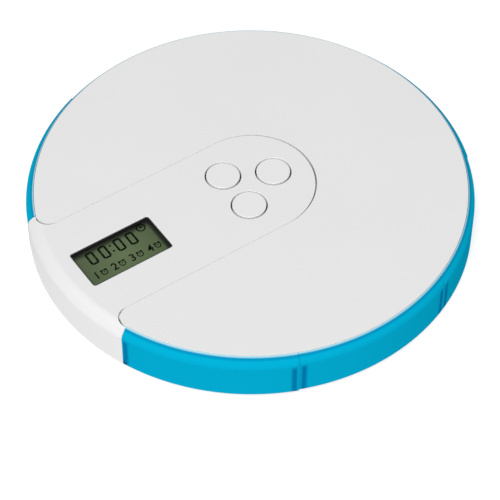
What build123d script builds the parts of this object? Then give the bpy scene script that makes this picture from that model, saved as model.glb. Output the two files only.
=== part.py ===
from build123d import *
import math
import os

# Round automatic pill dispenser, in millimetres.
# +Z is up, the origin is on the table under the middle of the disc, and the arm with the
# display points towards -Y. A ring of pill cells turns about Z inside a fixed casing.
# When a cell comes over the outlet, under the arm, its pills drop on the outlet flap.

os.makedirs("parts", exist_ok=True)

# ---------------------------------------------------------------- casing, seen from above
lid_radius = 77.0          # round white lid
lid_gap = 0.3              # gap all round the lift-off lid
shoulder = 2.7             # width of the sloping shoulder of the blue band and the skirt
shoulder_drop = 3.2        # how far the shoulder falls
shoulder_round = 3.0       # rounding between the shoulder and the wall
rim_round = 4.0            # rounding between the arm's top and its shoulder
arm_half = 22.9            # half the arm's width, and the radius of its round end
lid_corner = 3.9           # rounded corners of the lid where the arm meets the rim
sectors = 8                # seven blue segments and the arm
seam_gap = 0.4             # gap between neighbouring segments
wall = 1.6                 # thickness of band, skirt and cover walls
fit_gap = 0.1              # gap between pieces that are assembled and don't move

# ---------------------------------------------------------------- casing, heights
foot_height = 1.2          # how far the rubber feet lift the underside
foot_sink = 0.5            # how deep a foot sits in its recess
floor_thickness = 2.0
band_lift = 1.2            # band's lower edge above the underside
run_gap = 0.2              # carousel above the floor
cell_depth = 9.8           # height of the pill cells
top_gap = 0.4              # carousel below the deck and the lid's liner
deck_thickness = 1.2
head_room = 3.6            # room for board and display above the deck
skin = 1.6                 # thickness of the lid and the head cover on top
seat_gap = 0.1             # lid above the ledge that it rests on

# ---------------------------------------------------------------- band and lid details
lip_width = 1.8            # band's foot on the floor, and its ledge under the lid
lip_height = 1.2
lip_run = 0.6              # carousel inside the band's lip
band_end_top = 1.3         # rounded corners of the blue ends beside the arm
band_end_bottom = 2.3
lid_wall = 1.2             # walls that join the lid to its liner
liner_gap = 0.5            # liner beside deck, arm and ledge
liner_corner = 1.5
edge_round = 0.5           # small rounding of outer edges

# ---------------------------------------------------------------- carousel
hub_radius = 33.3          # fixed bearing wall that the carousel turns on
hub_wall = 1.6
hub_floor = 1.0            # plate that joins the hub's walls and bosses
bearing_gap = 0.3
cell_inner = 36.2          # where the cells begin
cell_wall = 1.0
rim_wall = 1.0             # rim that closes the cells
rim_fit = 0.05             # rim round the dividers' ends
rim_border = 1.3           # rim above and below its slots
slot_width = 2.1           # the two slots of each double divider
rib_width = 1.1            # rib between the two slots
cell_corner = 2.0
slot_inset = 2.0           # how far outside the cells' inner wall the slots begin

# ---------------------------------------------------------------- gear train
module = 1.0
pressure_angle = math.radians(20)
ring_teeth = 64
idler_teeth = 16
pinion_teeth = 12
tooth_height = 0.85        # above the pitch circle, in modules
tooth_depth = 1.25         # below the pitch circle, in modules
ring_tooth_height = 0.7    # the ring's teeth are shorter, to clear the idler's roots
flank_play = 0.07          # taken off each flank
flank_steps = 3
gear_width = 2.0
gear_gap = 0.2             # between gears and what lies under or over them
idler_angle = 30.0         # where the idler sits about the hub
train_turn = -126.0        # direction from the idler to the motor
ring_back = 1.2            # ring gear's body behind its teeth
ring_fit = 0.02            # ring gear in its seat
axle_radius = 1.0
axle_play = 0.05
axle_boss = 2.8
shaft_radius = 0.75

# ---------------------------------------------------------------- motor
motor_radius = 7.5
motor_neck = 2.5
motor_neck_height = 0.3
motor_ear_reach = 10.0     # from the shaft to a mounting hole
motor_ear_half = 2.2
motor_ear_thickness = 0.8
motor_ear_turn = -55.0     # direction of the two ears
shaft_sink = 2.0           # shaft's length inside the motor

# ---------------------------------------------------------------- home position sensing
magnet_radius = 1.5
magnet_length = 1.5
magnet_skin = 0.4          # carousel wall left between the magnet and the bearing
magnet_height = 7.0        # above the table
sensor_width = 4.0
sensor_thickness = 0.9
sensor_tall = 3.0

# ---------------------------------------------------------------- batteries
cell_diameter = 10.5       # AAA
cell_length = 44.5
cell_nub_radius = 1.9
cell_nub = 1.0
cell_play = 0.25           # round each cell
spring_room = 4.0          # for the sprung contacts
plate_room = 0.8           # for the flat contacts
bay_wall = 1.0
bay_offset = -8.6          # bay's middle, along X
door_lap = 1.6             # door past the bay, on each side
door_thickness = 1.2
door_gap = 0.3
contact_sheet = 0.3
contact_width = 7.0
grip_pitch = 2.4           # grooves of the door's finger grip

# ---------------------------------------------------------------- outlet
outlet_width = 26.0
outlet_length = 28.0
outlet_margin = 8.4        # from the skirt's inner wall
outlet_corner = 1.5
throat_lap = 1.0           # ledge that the closed flap meets
flap_thickness = 1.2
flap_gap = 0.3
hinge_pin = 0.6            # radius
hinge_play = 0.06
hinge_barrel = 0.95
hinge_height = 1.05        # pin above the underside
pin_grip = 2.5             # pin's length in the floor, on each side
flap_spring_length = 5.0
coil_groove = 0.12         # depth and width of the grooves between the spring's turns

# ---------------------------------------------------------------- board, display, buttons
board_lift = 0.5
board_thickness = 1.0
board_round = 16.5
board_half = 15.5
board_end = 7.2            # board's end from the skirt's inner wall
window_width = 16.7
window_length = 32.0
window_offset = 0.7
window_margin = 7.7        # from the skirt's inner wall
window_corner = 0.8
pane_lap = 2.0
pane_thickness = 0.6
lcd_lap = 1.6
lcd_gap = 0.15             # pane above the display
button_radius = 6.05
button_play = 0.4
button_proud = 0.25
button_travel = 0.4
button_flange = 1.0
button_flange_height = 0.5
button_edge = 0.35
button_spread = 8.3        # the two near buttons, left and right of the middle
button_near = 6.4          # and towards the display
button_far = 9.6           # the far button
plunger_radius = 1.4
plunger_rest = 0.05        # plunger above its switch when pressed home
switch_size = 5.0
switch_height = 0.7
switch_wall = 0.15         # play round the plunger, and the switch's own floor
button_guide = 0.1         # plunger's length inside its switch at rest
chips = [                  # width, length, height, X, and share of the way to the display
    (6.0, 6.0, 0.9, -8.5, 0.77),
    (4.0, 5.0, 1.0, 9.0, 0.78),
    (2.0, 6.0, 0.9, 13.2, 0.39),
    (3.0, 2.0, 1.1, -12.5, 0.375),
]
buzzer_radius = 4.6
buzzer_height = 1.5
buzzer_share = 0.66        # of the way from the hub's middle to the display

# ---------------------------------------------------------------- feet and fasteners
foot_count = 4
foot_radius = 6.0
foot_circle = 66.0
boss_radius = 2.2
boss_circle = 28.4
boss_angles = [180.0, 65.0, -15.0, -65.0]
deck_screw_count = 3       # the last boss lies under the board
screw_radius = 0.8
screw_head = 1.7
screw_head_height = 1.0
screw_length = 5.0
cover_post = 2.0
cover_screw_length = 3.0
post_margin = 3.8          # far post from the round end's edge
post_inset = 4.2           # middle posts from the arm's edges
post_middle = 30.0         # middle posts' distance from the buttons' middle
post_near = 6.7            # near posts from the arm's edges
post_rim = 5.0             # near posts from the skirt's inner wall
board_screw_inset = 4.0    # from the board's edges
board_screw_back = 0.55    # two screws behind the buzzer, as a share of that way
board_screw_front = 0.9    # and one before the display
board_screw_radius = 0.7
board_screw_head = 1.4
board_screw_head_height = 0.8

# ---------------------------------------------------------------- worked-out sizes
sector = 360.0 / sectors
band_radius = lid_radius + lid_gap + shoulder
band_inner = band_radius - wall
floor_bottom = foot_height
floor_top = floor_bottom + floor_thickness
band_bottom = floor_bottom + band_lift
hub_floor_top = floor_top + hub_floor
carousel_bottom = floor_top + run_gap
carousel_top = carousel_bottom + cell_depth
deck_bottom = carousel_top + top_gap
deck_top = deck_bottom + deck_thickness
skin_bottom = deck_top + head_room
lid_top = skin_bottom + skin
base_radius = band_inner - fit_gap
lip_radius = band_inner - lip_width
ledge_radius = lid_radius + lid_gap - lip_width
ledge_top = skin_bottom - seat_gap
carousel_radius = lip_radius - lip_run
carousel_bore = hub_radius + bearing_gap
spoke_radius = carousel_radius - rim_wall - rim_fit
divider = 2 * cell_wall + 2 * slot_width + rib_width
ring_pitch = ring_teeth * module / 2
idler_pitch = idler_teeth * module / 2
pinion_pitch = pinion_teeth * module / 2
gear_top = carousel_top - gear_gap / 2
gear_bottom = gear_top - gear_width
ring_outer = ring_pitch + tooth_depth * module + ring_back
hub_top = gear_bottom - bearing_gap
deck_round = ring_outer + cell_wall
liner_radius = ledge_radius - liner_gap
outlet_middle = -(band_inner - outlet_margin - outlet_length / 2)
window_middle = -(band_inner - window_margin - window_length / 2)
button_places = [
    (-button_spread, -button_near),
    (0.0, button_far),
    (button_spread, -button_near),
]
cover_post_places = [
    (0.0, arm_half - post_margin),
    (post_inset - arm_half, -post_middle),
    (arm_half - post_inset, -post_middle),
    (post_near - arm_half, post_rim - band_inner),
    (arm_half - post_near, post_rim - band_inner),
]
display_start = window_middle + window_length / 2 + lcd_lap
buzzer_place = (0.0, buzzer_share * display_start)
board_screw_places = [
    (board_screw_inset - board_half, board_screw_back * display_start),
    (board_half - board_screw_inset, board_screw_back * display_start),
    (0.0, board_screw_front * display_start),
]
idler_centre = Vector(ring_pitch - idler_pitch, 0).rotate(Axis.Z, idler_angle)
train_step = Vector(idler_pitch + pinion_pitch, 0).rotate(Axis.Z, train_turn)
motor_centre = idler_centre + train_step
motor_top = gear_bottom - gear_gap - motor_neck_height
bay_width = 2 * cell_diameter + 3 * cell_play
bay_length = cell_length + spring_room + plate_room
board_bottom = deck_top + board_lift
board_top = board_bottom + board_thickness
pane_bottom = skin_bottom - pane_thickness
lcd_top = pane_bottom - lcd_gap
hinge_y = outlet_middle + outlet_length / 2 - flap_gap - hinge_barrel
hinge_z = floor_bottom + hinge_height
centred = (Align.CENTER, Align.CENTER, Align.MIN)


def post(radius, bottom, top, places, mode=Mode.ADD):
    """Round posts, or holes, between two heights."""
    with Locations([Vector(place) + Vector(0, 0, bottom) for place in places]):
        Cylinder(radius, top - bottom, align=centred, mode=mode)


def block(width, length, bottom, top, middle=(0, 0), corner=0.0, mode=Mode.ADD):
    """Upright block with rounded corners, between two heights."""
    with BuildSketch(Plane.XY.offset(bottom), mode=Mode.PRIVATE) as footprint:
        with Locations(middle):
            if corner:
                RectangleRounded(width, length, corner)
            else:
                Rectangle(width, length)
    extrude(footprint.sketch, amount=top - bottom, mode=mode)


def around(radius, angles):
    """Points on a circle about the hub."""
    turns = [math.radians(angle) for angle in angles]
    return [(radius * math.cos(turn), radius * math.sin(turn)) for turn in turns]


def keyhole(half, reach, mode=Mode.ADD):
    """Round end about the hub, with straight sides towards -Y."""
    Circle(half, mode=mode)
    with Locations((0, -reach / 2)):
        Rectangle(2 * half, reach, mode=mode)


def wedge(direction, inset):
    """Sector of the disc, its two sides moved inwards by the inset."""
    middle = math.radians(direction)
    half = math.radians(sector / 2)
    reach = 1.5 * band_radius
    tip = Vector(math.cos(middle), math.sin(middle)) * (inset / math.sin(half))
    first = tip + Vector(math.cos(middle - half), math.sin(middle - half)) * reach
    second = tip + Vector(math.cos(middle + half), math.sin(middle + half)) * reach
    Polygon(tip, first, second, align=None)


def involute(radius, base):
    """Angle that the involute of a base circle has turned through at a radius."""
    slope = math.sqrt(max((radius / base) ** 2 - 1, 0))
    return slope - math.atan(slope)


def gear_outline(teeth, height, depth, play, phase, mode=Mode.ADD):
    """Closed involute gear outline about the sketch's origin."""
    pitch = teeth * module / 2
    base = pitch * math.cos(pressure_angle)
    tip = pitch + height * module
    root = pitch - depth * module
    start = max(base, root)
    half = math.pi / (2 * teeth) - play / pitch + involute(pitch, base)
    flank = [(root, half - involute(start, base))] if root < base else []
    for step in range(flank_steps + 1):
        radius = start + (tip - start) * step / flank_steps
        flank.append((radius, half - involute(radius, base)))
    points = []
    for tooth in range(teeth):
        middle = math.radians(phase) + 2 * math.pi * tooth / teeth
        rising = [(radius, middle - turn) for radius, turn in flank]
        falling = [(radius, middle + turn) for radius, turn in reversed(flank)]
        points += [(r * math.cos(a), r * math.sin(a)) for r, a in rising + falling]
    Polygon(*points, align=None, mode=mode)


def finish(piece, name):
    """Labels a finished piece and writes it."""
    piece.part.label = name
    export_step(piece.part, f"parts/{name}.step")


# The lid's outline: a disc, less the keyhole that the head fills.
with BuildSketch() as lid_outline:
    Circle(lid_radius)
    keyhole(arm_half + lid_gap, lid_radius + shoulder, mode=Mode.SUBTRACT)
    fillet(lid_outline.vertices().group_by(Axis.Y)[0], lid_corner)

# The head's outline: arm, round end, and the rim of its own sector outside the lid.
with BuildSketch() as head_outline:
    keyhole(arm_half + wall, band_radius)
    wedge(-90, seam_gap / 2)
    Circle(band_radius, mode=Mode.INTERSECT)
    offset(lid_outline.sketch, amount=lid_gap, mode=Mode.SUBTRACT)

# The liner's outline: inside the band's ledge, and outside the deck.
with BuildSketch() as liner_outline:
    Circle(liner_radius)
    Circle(deck_round + liner_gap, mode=Mode.SUBTRACT)
    with Locations((0, -band_radius / 2)):
        Rectangle(2 * (arm_half + liner_gap), band_radius, mode=Mode.SUBTRACT)
    fillet(liner_outline.vertices().group_by(Axis.Y)[0], liner_corner)

# ---------------------------------------------------------------- base tray
with BuildPart() as base_tray:
    post(base_radius, floor_bottom, floor_top, [(0, 0)])
    chamfer(base_tray.edges().group_by(Axis.Z)[0], edge_round)
    # battery opening, with a ledge round it for the door
    block(
        bay_width + 2 * door_lap + 2 * door_gap,
        bay_length + 2 * door_lap + 2 * door_gap,
        floor_bottom,
        floor_bottom + door_thickness + fit_gap,
        (bay_offset, 0),
        mode=Mode.SUBTRACT,
    )
    block(bay_width, bay_length, floor_bottom, floor_top, (bay_offset, 0), mode=Mode.SUBTRACT)
    # pill outlet: the flap's recess below, a narrower throat above, and the hinge's slot
    block(
        outlet_width,
        outlet_length,
        floor_bottom,
        floor_bottom + flap_thickness + fit_gap,
        (0, outlet_middle),
        mode=Mode.SUBTRACT,
    )
    block(
        outlet_width - 2 * throat_lap,
        outlet_length - 2 * throat_lap,
        floor_bottom,
        floor_top,
        (0, outlet_middle),
        outlet_corner,
        mode=Mode.SUBTRACT,
    )
    slot_length = 2 * (hinge_barrel + flap_gap)
    block(outlet_width, slot_length, floor_bottom, floor_top, (0, hinge_y), mode=Mode.SUBTRACT)
    with BuildSketch(Plane.YZ.offset(-outlet_width / 2 - pin_grip)):
        with Locations((hinge_y, hinge_z)):
            Circle(hinge_pin + ring_fit)
    extrude(amount=outlet_width + 2 * pin_grip, mode=Mode.SUBTRACT)
    # recesses for the feet, and countersunk holes for the screws
    foot_angles = [360 / foot_count * (turn + 0.5) for turn in range(foot_count)]
    foot_places = around(foot_circle, foot_angles)
    post(foot_radius, floor_bottom, floor_bottom + foot_sink, foot_places, mode=Mode.SUBTRACT)
    boss_places = around(boss_circle, boss_angles)
    post(screw_radius + fit_gap, floor_bottom, floor_top, boss_places, mode=Mode.SUBTRACT)
    head_seat = floor_bottom + screw_head_height + fit_gap
    post(screw_head + fit_gap, floor_bottom, head_seat, boss_places, mode=Mode.SUBTRACT)
finish(base_tray, "base_tray")

# ---------------------------------------------------------------- hub housing
with BuildPart() as hub_housing:
    # bearing wall and floor plate, and the battery bay that ends in the wall
    post(hub_radius, floor_top, hub_top, [(0, 0)])
    post(hub_radius - hub_wall, hub_floor_top, hub_top, [(0, 0)], mode=Mode.SUBTRACT)
    outer_width = bay_width + 2 * bay_wall
    outer_length = bay_length + 2 * bay_wall
    block(outer_width, outer_length, floor_top, deck_bottom, (bay_offset, 0))
    block(bay_width, bay_length, floor_top, deck_bottom, (bay_offset, 0), mode=Mode.SUBTRACT)
    # bosses for the case screws and the idler's axle, and posts for the motor
    post(boss_radius, floor_top, deck_bottom, boss_places)
    post(axle_boss, floor_top, gear_bottom - gear_gap, [idler_centre])
    ear_vector = Vector(motor_ear_reach, 0).rotate(Axis.Z, motor_ear_turn)
    ear_places = [motor_centre + ear_vector, motor_centre - ear_vector]
    ear_bottom = motor_top - motor_ear_thickness
    post(motor_ear_half, floor_top, ear_bottom, ear_places)
    # clear the turning ring gear above the bearing wall
    with BuildSketch(Plane.XY.offset(hub_top)):
        Circle(band_radius)
        Circle(ring_pitch - ring_tooth_height * module - bearing_gap, mode=Mode.SUBTRACT)
    extrude(amount=deck_top, mode=Mode.SUBTRACT)
    # holes for screws and axle
    post(screw_radius, floor_top, floor_top + screw_length, boss_places, mode=Mode.SUBTRACT)
    deck_screw_places = boss_places[:deck_screw_count]
    screw_hole = deck_bottom - screw_length
    post(screw_radius, screw_hole, deck_bottom, deck_screw_places, mode=Mode.SUBTRACT)
    post(screw_radius, ear_bottom - screw_length, ear_bottom, ear_places, mode=Mode.SUBTRACT)
    post(axle_radius, floor_top, gear_bottom, [idler_centre], mode=Mode.SUBTRACT)
finish(hub_housing, "hub_housing")

# ---------------------------------------------------------------- deck over hub and arm
with BuildPart() as deck:
    with BuildSketch(Plane.XY.offset(deck_bottom)):
        keyhole(arm_half, band_radius)
        Circle(deck_round)
        Circle(band_inner - fit_gap, mode=Mode.INTERSECT)
    extrude(amount=deck_thickness)
    post(board_screw_head, deck_top, board_bottom, board_screw_places)
    post(screw_radius + fit_gap, deck_bottom, deck_top, deck_screw_places, mode=Mode.SUBTRACT)
    post(board_screw_radius, deck_bottom, board_bottom, board_screw_places, mode=Mode.SUBTRACT)
    with Locations([Vector(place) + Vector(0, 0, deck_bottom) for place in cover_post_places]):
        Cylinder(screw_radius + fit_gap, deck_thickness, align=centred, mode=Mode.SUBTRACT)
        Cone(
            screw_head + fit_gap,
            screw_radius + fit_gap,
            screw_head_height,
            align=centred,
            mode=Mode.SUBTRACT,
        )
finish(deck, "deck")

# ---------------------------------------------------------------- blue band
with BuildSketch(Plane.XZ) as band_profile:
    shoulder_foot = lid_top - shoulder_drop
    with BuildLine():
        Polyline(
            (lid_radius + lid_gap, lid_top),
            (lid_radius + lid_gap, ledge_top),
            (ledge_radius, ledge_top),
            (ledge_radius, ledge_top - lip_height),
            (band_inner, ledge_top - lip_height),
            (band_inner, floor_top + lip_height),
            (lip_radius, floor_top + lip_height),
            (lip_radius, floor_top),
            (band_inner, floor_top),
            (band_inner, band_bottom),
            (band_radius, band_bottom),
            (band_radius, shoulder_foot),
            close=True,
        )
    make_face()
    fillet(band_profile.vertices().group_by(Axis.X)[-1].sort_by(Axis.Y)[-1], shoulder_round)


def corner_cutter(angle, side, height, radius, upwards):
    """Solid that rounds one upright corner of a segment's end."""
    turn = math.radians(angle)
    outward = Vector(math.cos(turn), math.sin(turn), 0)
    along = Vector(-math.sin(turn), math.cos(turn), 0) * side
    corner = outward * (band_radius - 2 * shoulder) + along * (seam_gap / 2) + Vector(0, 0, height)
    plane = Plane(corner, x_dir=along, z_dir=outward)
    rise = 1 if plane.y_dir.Z * upwards > 0 else -1
    with BuildPart(mode=Mode.PRIVATE) as cutter:
        with BuildSketch(plane):
            with Locations((radius / 2, rise * radius / 2)):
                Rectangle(radius, radius)
            with Locations((radius, rise * radius)):
                Circle(radius, mode=Mode.SUBTRACT)
        extrude(amount=3 * shoulder)
    return cutter.part


arm_edge = -90 + sector / 2
arm_corners = {
    1: [corner_cutter(arm_edge, 1, band_bottom, band_end_bottom, 1),
        corner_cutter(arm_edge, 1, lid_top, band_end_top, -1)],
    sectors - 1: [corner_cutter(-90 - sector / 2, -1, band_bottom, band_end_bottom, 1),
                  corner_cutter(-90 - sector / 2, -1, lid_top, band_end_top, -1)],
}
for number in range(1, sectors):
    with BuildPart() as band_segment:
        revolve(band_profile.sketch, Axis.Z)
        with BuildSketch(Plane.XY):
            wedge(-90 + sector * number, seam_gap / 2)
        extrude(amount=lid_top, mode=Mode.INTERSECT)
        for cutter in arm_corners.get(number, []):
            add(cutter, mode=Mode.SUBTRACT)
    finish(band_segment, f"band_segment_{number}")

# ---------------------------------------------------------------- head cover
with BuildSketch(Plane.XZ) as casing_profile:
    with BuildLine():
        Polyline(
            (lid_radius + lid_gap, lid_top),
            (0, lid_top),
            (0, 0),
            (band_radius, 0),
            (band_radius, shoulder_foot),
            close=True,
        )
    make_face()
    fillet(casing_profile.vertices().group_by(Axis.X)[-1].sort_by(Axis.Y)[-1], shoulder_round)
    fillet(casing_profile.vertices().group_by(Axis.Y)[-1].sort_by(Axis.X)[-1], rim_round)

with BuildPart() as head_cover:
    with BuildSketch(Plane.XY.offset(deck_top)):
        add(head_outline.sketch)
    extrude(amount=lid_top - deck_top)
    with BuildSketch(Plane.XY.offset(band_bottom)):
        wedge(-90, seam_gap / 2)
        Circle(band_radius, mode=Mode.INTERSECT)
        Circle(band_inner, mode=Mode.SUBTRACT)
    extrude(amount=deck_top - band_bottom)
    with BuildSketch(Plane.XY.offset(deck_top)):
        keyhole(arm_half - wall, band_radius)
        Circle(band_inner, mode=Mode.INTERSECT)
    extrude(amount=head_room, mode=Mode.SUBTRACT)
    # lip that stands on the floor, as the band's does
    with BuildSketch(Plane.XY.offset(floor_top)):
        wedge(-90, seam_gap / 2)
        Circle(band_inner, mode=Mode.INTERSECT)
        Circle(lip_radius, mode=Mode.SUBTRACT)
    extrude(amount=lip_height)
    post(cover_post, deck_top, skin_bottom, cover_post_places)
    cover_hole = deck_top + cover_screw_length
    post(screw_radius, deck_top, cover_hole, cover_post_places, mode=Mode.SUBTRACT)
    revolve(casing_profile.sketch, Axis.Z, mode=Mode.INTERSECT)
    # display window and button holes
    block(
        window_width,
        window_length,
        skin_bottom,
        lid_top,
        (window_offset, window_middle),
        window_corner,
        mode=Mode.SUBTRACT,
    )
    post(button_radius + button_play, skin_bottom, lid_top, button_places, mode=Mode.SUBTRACT)
finish(head_cover, "head_cover")

# ---------------------------------------------------------------- lid and its liner
with BuildPart() as lid:
    with BuildSketch(Plane.XY.offset(skin_bottom)):
        add(lid_outline.sketch)
    extrude(amount=skin)
    with BuildSketch(Plane.XY.offset(deck_top)):
        add(liner_outline.sketch)
        offset(liner_outline.sketch, amount=-lid_wall, mode=Mode.SUBTRACT)
    extrude(amount=head_room)
finish(lid, "lid")

with BuildPart() as lid_liner:
    with BuildSketch(Plane.XY.offset(deck_bottom)):
        add(liner_outline.sketch)
    extrude(amount=deck_thickness)
finish(lid_liner, "lid_liner")

# ---------------------------------------------------------------- carousel
with BuildPart() as carousel:
    # bearing ring and double dividers; the cells have no floor of their own
    post(spoke_radius, carousel_bottom, carousel_top, [(0, 0)])
    post(carousel_bore, carousel_bottom, carousel_top, [(0, 0)], mode=Mode.SUBTRACT)
    seat_bottom = gear_bottom - gear_gap
    post(ring_outer + ring_fit, seat_bottom, carousel_top, [(0, 0)], mode=Mode.SUBTRACT)
    for number in range(sectors):
        with BuildSketch(Plane.XY.offset(carousel_bottom)) as pill_cell:
            wedge(-90 + sector * number, divider / 2)
            Circle(cell_inner, mode=Mode.SUBTRACT)
            fillet(pill_cell.vertices().group_by(SortBy.DISTANCE)[0], cell_corner)
        extrude(amount=cell_depth, mode=Mode.SUBTRACT)
    with Locations(Location((0, 0, magnet_height), (90, 0, 0))):
        with Locations((0, 0, carousel_bore + magnet_skin)):
            Cylinder(magnet_radius, magnet_length, align=centred, mode=Mode.SUBTRACT)
    # two slots in each divider, open at its end
    slot_start = cell_inner + slot_inset
    slot_span = spoke_radius - slot_start
    with BuildSketch(Plane.XY.offset(carousel_bottom)):
        with PolarLocations(slot_start + slot_span, sectors, start_angle=sector / 2):
            with GridLocations(0, rib_width + slot_width, 1, 2):
                Rectangle(2 * slot_span, slot_width)
    extrude(amount=cell_depth, mode=Mode.SUBTRACT)
finish(carousel, "carousel")

with BuildPart() as carousel_rim:
    post(carousel_radius, carousel_bottom, carousel_top, [(0, 0)])
    rim_inner = carousel_radius - rim_wall
    post(rim_inner, carousel_bottom, carousel_top, [(0, 0)], mode=Mode.SUBTRACT)
    # closed slots in line with the dividers' slots
    with BuildSketch(Plane.XY.offset(carousel_bottom + rim_border)):
        with PolarLocations(carousel_radius, sectors, start_angle=sector / 2):
            with GridLocations(0, rib_width + slot_width, 1, 2):
                Rectangle(4 * rim_wall, slot_width)
    extrude(amount=cell_depth - 2 * rim_border, mode=Mode.SUBTRACT)
finish(carousel_rim, "carousel_rim")

# ---------------------------------------------------------------- gears
ring_phase = 0.0
idler_phase = idler_angle + ring_teeth / idler_teeth * (ring_phase - idler_angle)
pinion_space = train_turn + 180 - idler_teeth / pinion_teeth * (idler_phase - train_turn)
pinion_phase = pinion_space + 180 / pinion_teeth

with BuildPart() as ring_gear:
    with BuildSketch(Plane.XY.offset(gear_bottom)):
        Circle(ring_outer)
        gear_outline(
            ring_teeth, tooth_depth, ring_tooth_height, -flank_play, ring_phase, Mode.SUBTRACT
        )
    extrude(amount=gear_width)
finish(ring_gear, "ring_gear")

with BuildPart() as idler_gear:
    with BuildSketch(Plane(Vector(idler_centre.X, idler_centre.Y, gear_bottom))):
        gear_outline(idler_teeth, tooth_height, tooth_depth, flank_play, idler_phase)
        Circle(axle_radius + axle_play, mode=Mode.SUBTRACT)
    extrude(amount=gear_width)
finish(idler_gear, "idler_gear")

with BuildPart() as idler_axle:
    post(axle_radius, floor_top, gear_top + gear_gap, [idler_centre])
    chamfer(idler_axle.edges().group_by(Axis.Z)[-1], axle_play)
finish(idler_axle, "idler_axle")

# ---------------------------------------------------------------- motor
shaft_bottom = motor_top - shaft_sink
with BuildPart() as motor:
    post(motor_radius, hub_floor_top, motor_top, [motor_centre])
    post(motor_neck, motor_top, motor_top + motor_neck_height, [motor_centre])
    with BuildSketch(Plane.XY.offset(ear_bottom)):
        with Locations(Location(motor_centre, (0, 0, motor_ear_turn))):
            SlotCenterToCenter(2 * motor_ear_reach, 2 * motor_ear_half)
    extrude(amount=motor_ear_thickness)
    post(screw_radius + fit_gap, ear_bottom, motor_top, ear_places, mode=Mode.SUBTRACT)
    neck_top = motor_top + motor_neck_height
    post(shaft_radius + axle_play, shaft_bottom, neck_top, [motor_centre], mode=Mode.SUBTRACT)
finish(motor, "motor")

with BuildPart() as motor_shaft:
    post(shaft_radius, shaft_bottom + fit_gap, gear_top + gear_gap / 2, [motor_centre])
finish(motor_shaft, "motor_shaft")

with BuildPart() as motor_pinion:
    with BuildSketch(Plane(Vector(motor_centre.X, motor_centre.Y, gear_bottom))):
        gear_outline(pinion_teeth, tooth_height, tooth_depth, flank_play, pinion_phase)
        Circle(shaft_radius, mode=Mode.SUBTRACT)
    extrude(amount=gear_width)
finish(motor_pinion, "motor_pinion")

# ---------------------------------------------------------------- home position
with BuildPart() as home_magnet:
    with Locations(Location((0, 0, magnet_height), (90, 0, 0))):
        with Locations((0, 0, carousel_bore + magnet_skin)):
            Cylinder(magnet_radius, magnet_length, align=centred)
finish(home_magnet, "home_magnet")

with BuildPart() as home_sensor:
    sensor_y = hub_wall - hub_radius + sensor_thickness / 2 + fit_gap
    with Locations((0, sensor_y, magnet_height)):
        Box(sensor_width, sensor_thickness, sensor_tall)
finish(home_sensor, "home_sensor")

# ---------------------------------------------------------------- batteries and contacts
cell_pitch = cell_diameter + cell_play
cell_height = floor_bottom + door_thickness + fit_gap + cell_play / 2 + cell_diameter / 2
bay_end = bay_length / 2
for number, side in ((1, -1), (2, 1)):
    # the cells lie head to tail, each with its nub at the flat contact
    cell_x = bay_offset + side * cell_pitch / 2
    nub_tip = side * (bay_end - plate_room)
    with BuildPart() as battery:
        with BuildSketch(Plane.XZ.offset(-nub_tip)):
            with Locations((cell_x, cell_height)):
                Circle(cell_nub_radius)
        extrude(amount=side * cell_nub)
        with BuildSketch(Plane.XZ.offset(side * cell_nub - nub_tip)):
            with Locations((cell_x, cell_height)):
                Circle(cell_diameter / 2)
        extrude(amount=side * (cell_length - cell_nub))
        fillet(battery.edges().filter_by(GeomType.CIRCLE).sort_by(SortBy.RADIUS)[-2:], edge_round)
    finish(battery, f"battery_{number}")

contact_bottom = floor_top
contact_top = cell_height + cell_diameter / 2
with BuildPart() as plate_contacts:
    for side in (-1, 1):
        cell_x = bay_offset + side * cell_pitch / 2
        plate_y = side * (bay_end - contact_sheet / 2)
        block(
            contact_width,
            contact_sheet,
            contact_bottom,
            contact_top,
            (cell_x, plate_y),
        )
        bump = side * (bay_end - contact_sheet)
        with BuildSketch(Plane.XZ.offset(-bump)):
            with Locations((cell_x, cell_height)):
                Circle(cell_nub_radius)
        extrude(amount=side * (plate_room - contact_sheet - fit_gap))
finish(plate_contacts, "plate_contacts")

with BuildPart() as spring_contacts:
    for side in (-1, 1):
        # a sheet on the bay's end wall, with a bowed tongue that pushes the cell's flat end
        cell_x = bay_offset - side * cell_pitch / 2
        back = side * (bay_end - contact_sheet / 2)
        push = side * (bay_end - spring_room + contact_sheet / 2 + fit_gap)
        bend = back - side * spring_room / 3
        with BuildSketch(Plane.YZ.offset(cell_x)):
            with BuildLine():
                Polyline(
                    (back, contact_bottom),
                    (back, contact_top),
                    (bend, contact_top),
                    (push, cell_height + contact_sheet),
                    (push, cell_height - contact_sheet),
                    (bend, contact_bottom + spring_room / 3),
                )
            trace(line_width=contact_sheet)
        extrude(amount=contact_width / 2, both=True)
finish(spring_contacts, "spring_contacts")

# ---------------------------------------------------------------- battery door
with BuildPart() as battery_door:
    block(
        bay_width + 2 * door_lap,
        bay_length + 2 * door_lap,
        floor_bottom,
        floor_bottom + door_thickness,
        (bay_offset, 0),
        edge_round,
    )
    # finger grip: three grooves near one end
    with BuildSketch(Plane.XY.offset(floor_bottom)):
        with Locations((bay_offset, bay_length / 2 - grip_pitch * 2)):
            with GridLocations(0, grip_pitch, 1, 3):
                Rectangle(bay_width / 2, grip_pitch / 2)
    extrude(amount=door_thickness / 3, mode=Mode.SUBTRACT)
finish(battery_door, "battery_door")

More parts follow.
